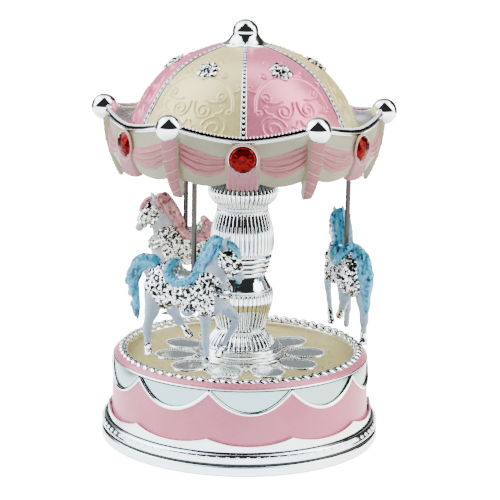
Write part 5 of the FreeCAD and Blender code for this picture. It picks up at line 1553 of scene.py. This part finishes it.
me = bpy.data.meshes.new("sweep_edge")
pv, pf = [], []
for i_, a_ in enumerate(np.linspace(-105, 105, 43)):
    p_ = cyl(a_, 300.0, 0.0) * 0.001
    pv += [(p_[0], p_[1], 0.0005), (p_[0], p_[1], 0.100)]
    if i_:
        pf.append((2 * i_ - 2, 2 * i_, 2 * i_ + 1, 2 * i_ - 1))
me.from_pydata(pv, [], pf)
sweep = bpy.data.objects.new("sweep_edge", me)
scene.collection.objects.link(sweep)
m, nt, b = new_mat("sweep_white")
n1, co = noise_of(nt, 3.0, 2.0, 0.5)
rp = ramp_of(nt, n1.outputs["Fac"], [(0.3, (0.90, 0.95, 0.97)), (0.7, (0.94, 0.98, 1.0))])
nt.links.new(rp.outputs["Color"], b.inputs["Emission Color"])
b.inputs["Base Color"].default_value = (0, 0, 0, 1)
b.inputs["Emission Strength"].default_value = 5.0
me.materials.append(m)
sweep.visible_camera = False
sweep.visible_diffuse = False
sweep.visible_shadow = False
sweep.visible_transmission = False

w = bpy.data.worlds.new("studio")
scene.world = w
w.use_nodes = True
nt = w.node_tree
nt.nodes.clear()
out_n = nt.nodes.new("ShaderNodeOutputWorld")


def mth(op, a, b=None, c=None, clamp=False):
    n = nt.nodes.new("ShaderNodeMath")
    n.operation = op
    n.use_clamp = clamp
    for i_, val in enumerate((a, b, c)):
        if val is None:
            continue
        if isinstance(val, (int, float)):
            n.inputs[i_].default_value = val
        else:
            nt.links.new(val, n.inputs[i_])
    return n.outputs[0]


def sstep(lo, hi, v):
    n = nt.nodes.new("ShaderNodeMapRange")
    n.interpolation_type = "SMOOTHSTEP"
    n.inputs["From Min"].default_value = lo
    n.inputs["From Max"].default_value = hi
    nt.links.new(v, n.inputs["Value"])
    return n.outputs["Result"]


tc = nt.nodes.new("ShaderNodeTexCoord")


def dot(const):
    n = nt.nodes.new("ShaderNodeVectorMath")
    n.operation = "DOT_PRODUCT"
    nt.links.new(tc.outputs["Generated"], n.inputs[0])
    n.inputs[1].default_value = const
    return n.outputs["Value"]


# A light tent: white walls left, right and overhead, with the dark triangular opening on the camera's side.
# Its outline is set by where it shows on a mirror ball seen from the front: u across, v up.
CE, SE = math.cos(math.radians(13.5)), math.sin(math.radians(13.5))
dc = dot((0.0, -CE, SE))                      # towards the camera
du = dot((1.0, 0.0, 0.0))
dv = dot((0.0, SE, CE))
ln = mth("POWER", mth("MAXIMUM", mth("ADD", mth("MULTIPLY", dc, 2.0), 2.0), 0.0001), 0.5)
u = mth("DIVIDE", du, ln)
v = mth("DIVIDE", dv, ln)
side = mth("SUBTRACT", mth("ABSOLUTE", u), mth("MULTIPLY", mth("SUBTRACT", 0.66, v), 1.05))
tent = sstep(-0.02, 0.02, side)
el = mth("MULTIPLY", mth("ARCSINE", dot((0.0, 0.0, 1.0))), 180 / math.pi)
above = sstep(-1.0, 1.0, el)
far = sstep(-0.10, 0.10, mth("SUBTRACT", dc, -0.2))   # 1 on the camera's half
behind_top = mth("MULTIPLY", mth("SUBTRACT", 1.0, far), sstep(42, 54, el))
# dark gaps low down behind the side walls
aa = mth("MULTIPLY", mth("ABSOLUTE", mth("ARCTAN2", dot((1.0, 0.0, 0.0)), dot((0.0, -1.0, 0.0)))), 180 / math.pi)
gaps = mth("MULTIPLY", mth("MULTIPLY", sstep(102, 108, aa), mth("SUBTRACT", 1.0, sstep(150, 156, aa))), mth("SUBTRACT", 1.0, sstep(20, 26, mth("SUBTRACT", el, mth("MULTIPLY", sstep(0.0, 0.1, u), 28.0)))))
gaps = mth("MULTIPLY", gaps, sstep(-14, -10, el))
sky = mth("MULTIPLY", tent, mth("SUBTRACT", 1.0, mth("MULTIPLY", behind_top, 0.93)))
# the room behind the object is dim; mirrors that look backwards see grey
back = mth("SUBTRACT", 1.0, sstep(-0.44, -0.26, mth("SUBTRACT", dc, mth("MULTIPLY", du, 0.18))))
glossy_sky = mth("MULTIPLY", sky, mth("SUBTRACT", 1.0, mth("MULTIPLY", back, 0.957)))
table = mth("SUBTRACT", 1.0, above)
near = mth("SUBTRACT", 1.0, mth("MULTIPLY", sstep(20, 75, mth("MULTIPLY", el, -1.0)), 0.45))
high = sstep(56, 80, el)
lit = mth("ADD", mth("MULTIPLY", mth("MULTIPLY", mth("MULTIPLY", glossy_sky, above), mth("SUBTRACT", 1.0, mth("MULTIPLY", high, 0.62))), 8.6), mth("MULTIPLY", mth("MULTIPLY", table, near), 5.2))
lit = mth("MULTIPLY", lit, mth("SUBTRACT", 1.0, mth("MULTIPLY", gaps, 0.97)))
lit = mth("ADD", lit, 0.03)
bg = nt.nodes.new("ShaderNodeBackground")
nt.links.new(lit, bg.inputs["Strength"])
# a trace of warmth on the right wall, of cool on the left and on the table
warm = sstep(0.15, 0.75, u)
cmix = nt.nodes.new("ShaderNodeMix")
cmix.data_type = "RGBA"
nt.links.new(warm, cmix.inputs["Factor"])
cmix.inputs["A"].default_value = (0.90, 0.98, 1.0, 1)
cmix.inputs["B"].default_value = (1.0, 0.97, 0.84, 1)
nt.links.new(cmix.outputs["Result"], bg.inputs["Color"])
soft = nt.nodes.new("ShaderNodeBackground")
soft.inputs["Color"].default_value = (1.0, 1.0, 1.0, 1)
# the same tent, gentler, for the light that falls on matt surfaces
gentle = mth("ADD", mth("MULTIPLY", mth("MULTIPLY", tent, above), mth("SUBTRACT", 3.0, mth("MULTIPLY", sstep(30, 78, el), 2.3))), mth("MULTIPLY", table, 0.75))
nt.links.new(mth("ADD", gentle, 0.10), soft.inputs["Strength"])
bg2 = nt.nodes.new("ShaderNodeBackground")
bg2.inputs["Color"].default_value = (1, 1, 1, 1)
bg2.inputs["Strength"].default_value = 24.0
lp = nt.nodes.new("ShaderNodeLightPath")
mix1 = nt.nodes.new("ShaderNodeMixShader")
nt.links.new(lp.outputs["Is Diffuse Ray"], mix1.inputs["Fac"])
nt.links.new(bg.outputs[0], mix1.inputs[1])
nt.links.new(soft.outputs[0], mix1.inputs[2])
mixs = nt.nodes.new("ShaderNodeMixShader")
nt.links.new(lp.outputs["Is Camera Ray"], mixs.inputs["Fac"])
nt.links.new(mix1.outputs[0], mixs.inputs[1])
nt.links.new(bg2.outputs[0], mixs.inputs[2])
nt.links.new(mixs.outputs[0], out_n.inputs["Surface"])

cam_d = bpy.data.cameras.new("camera")
cam = bpy.data.objects.new("camera", cam_d)
scene.collection.objects.link(cam)
cam_d.sensor_width = 36.0
cam_d.lens = 138.2
cam.matrix_world = Matrix.Translation((0.0030, -0.7006, 0.2394)) @ Matrix.Rotation(math.radians(90 - 13.52), 4, "X") @ Matrix.Rotation(math.radians(1.0), 4, "Z")
cam_d.clip_start = 0.01
scene.camera = cam

bpy.context.view_layer.update()
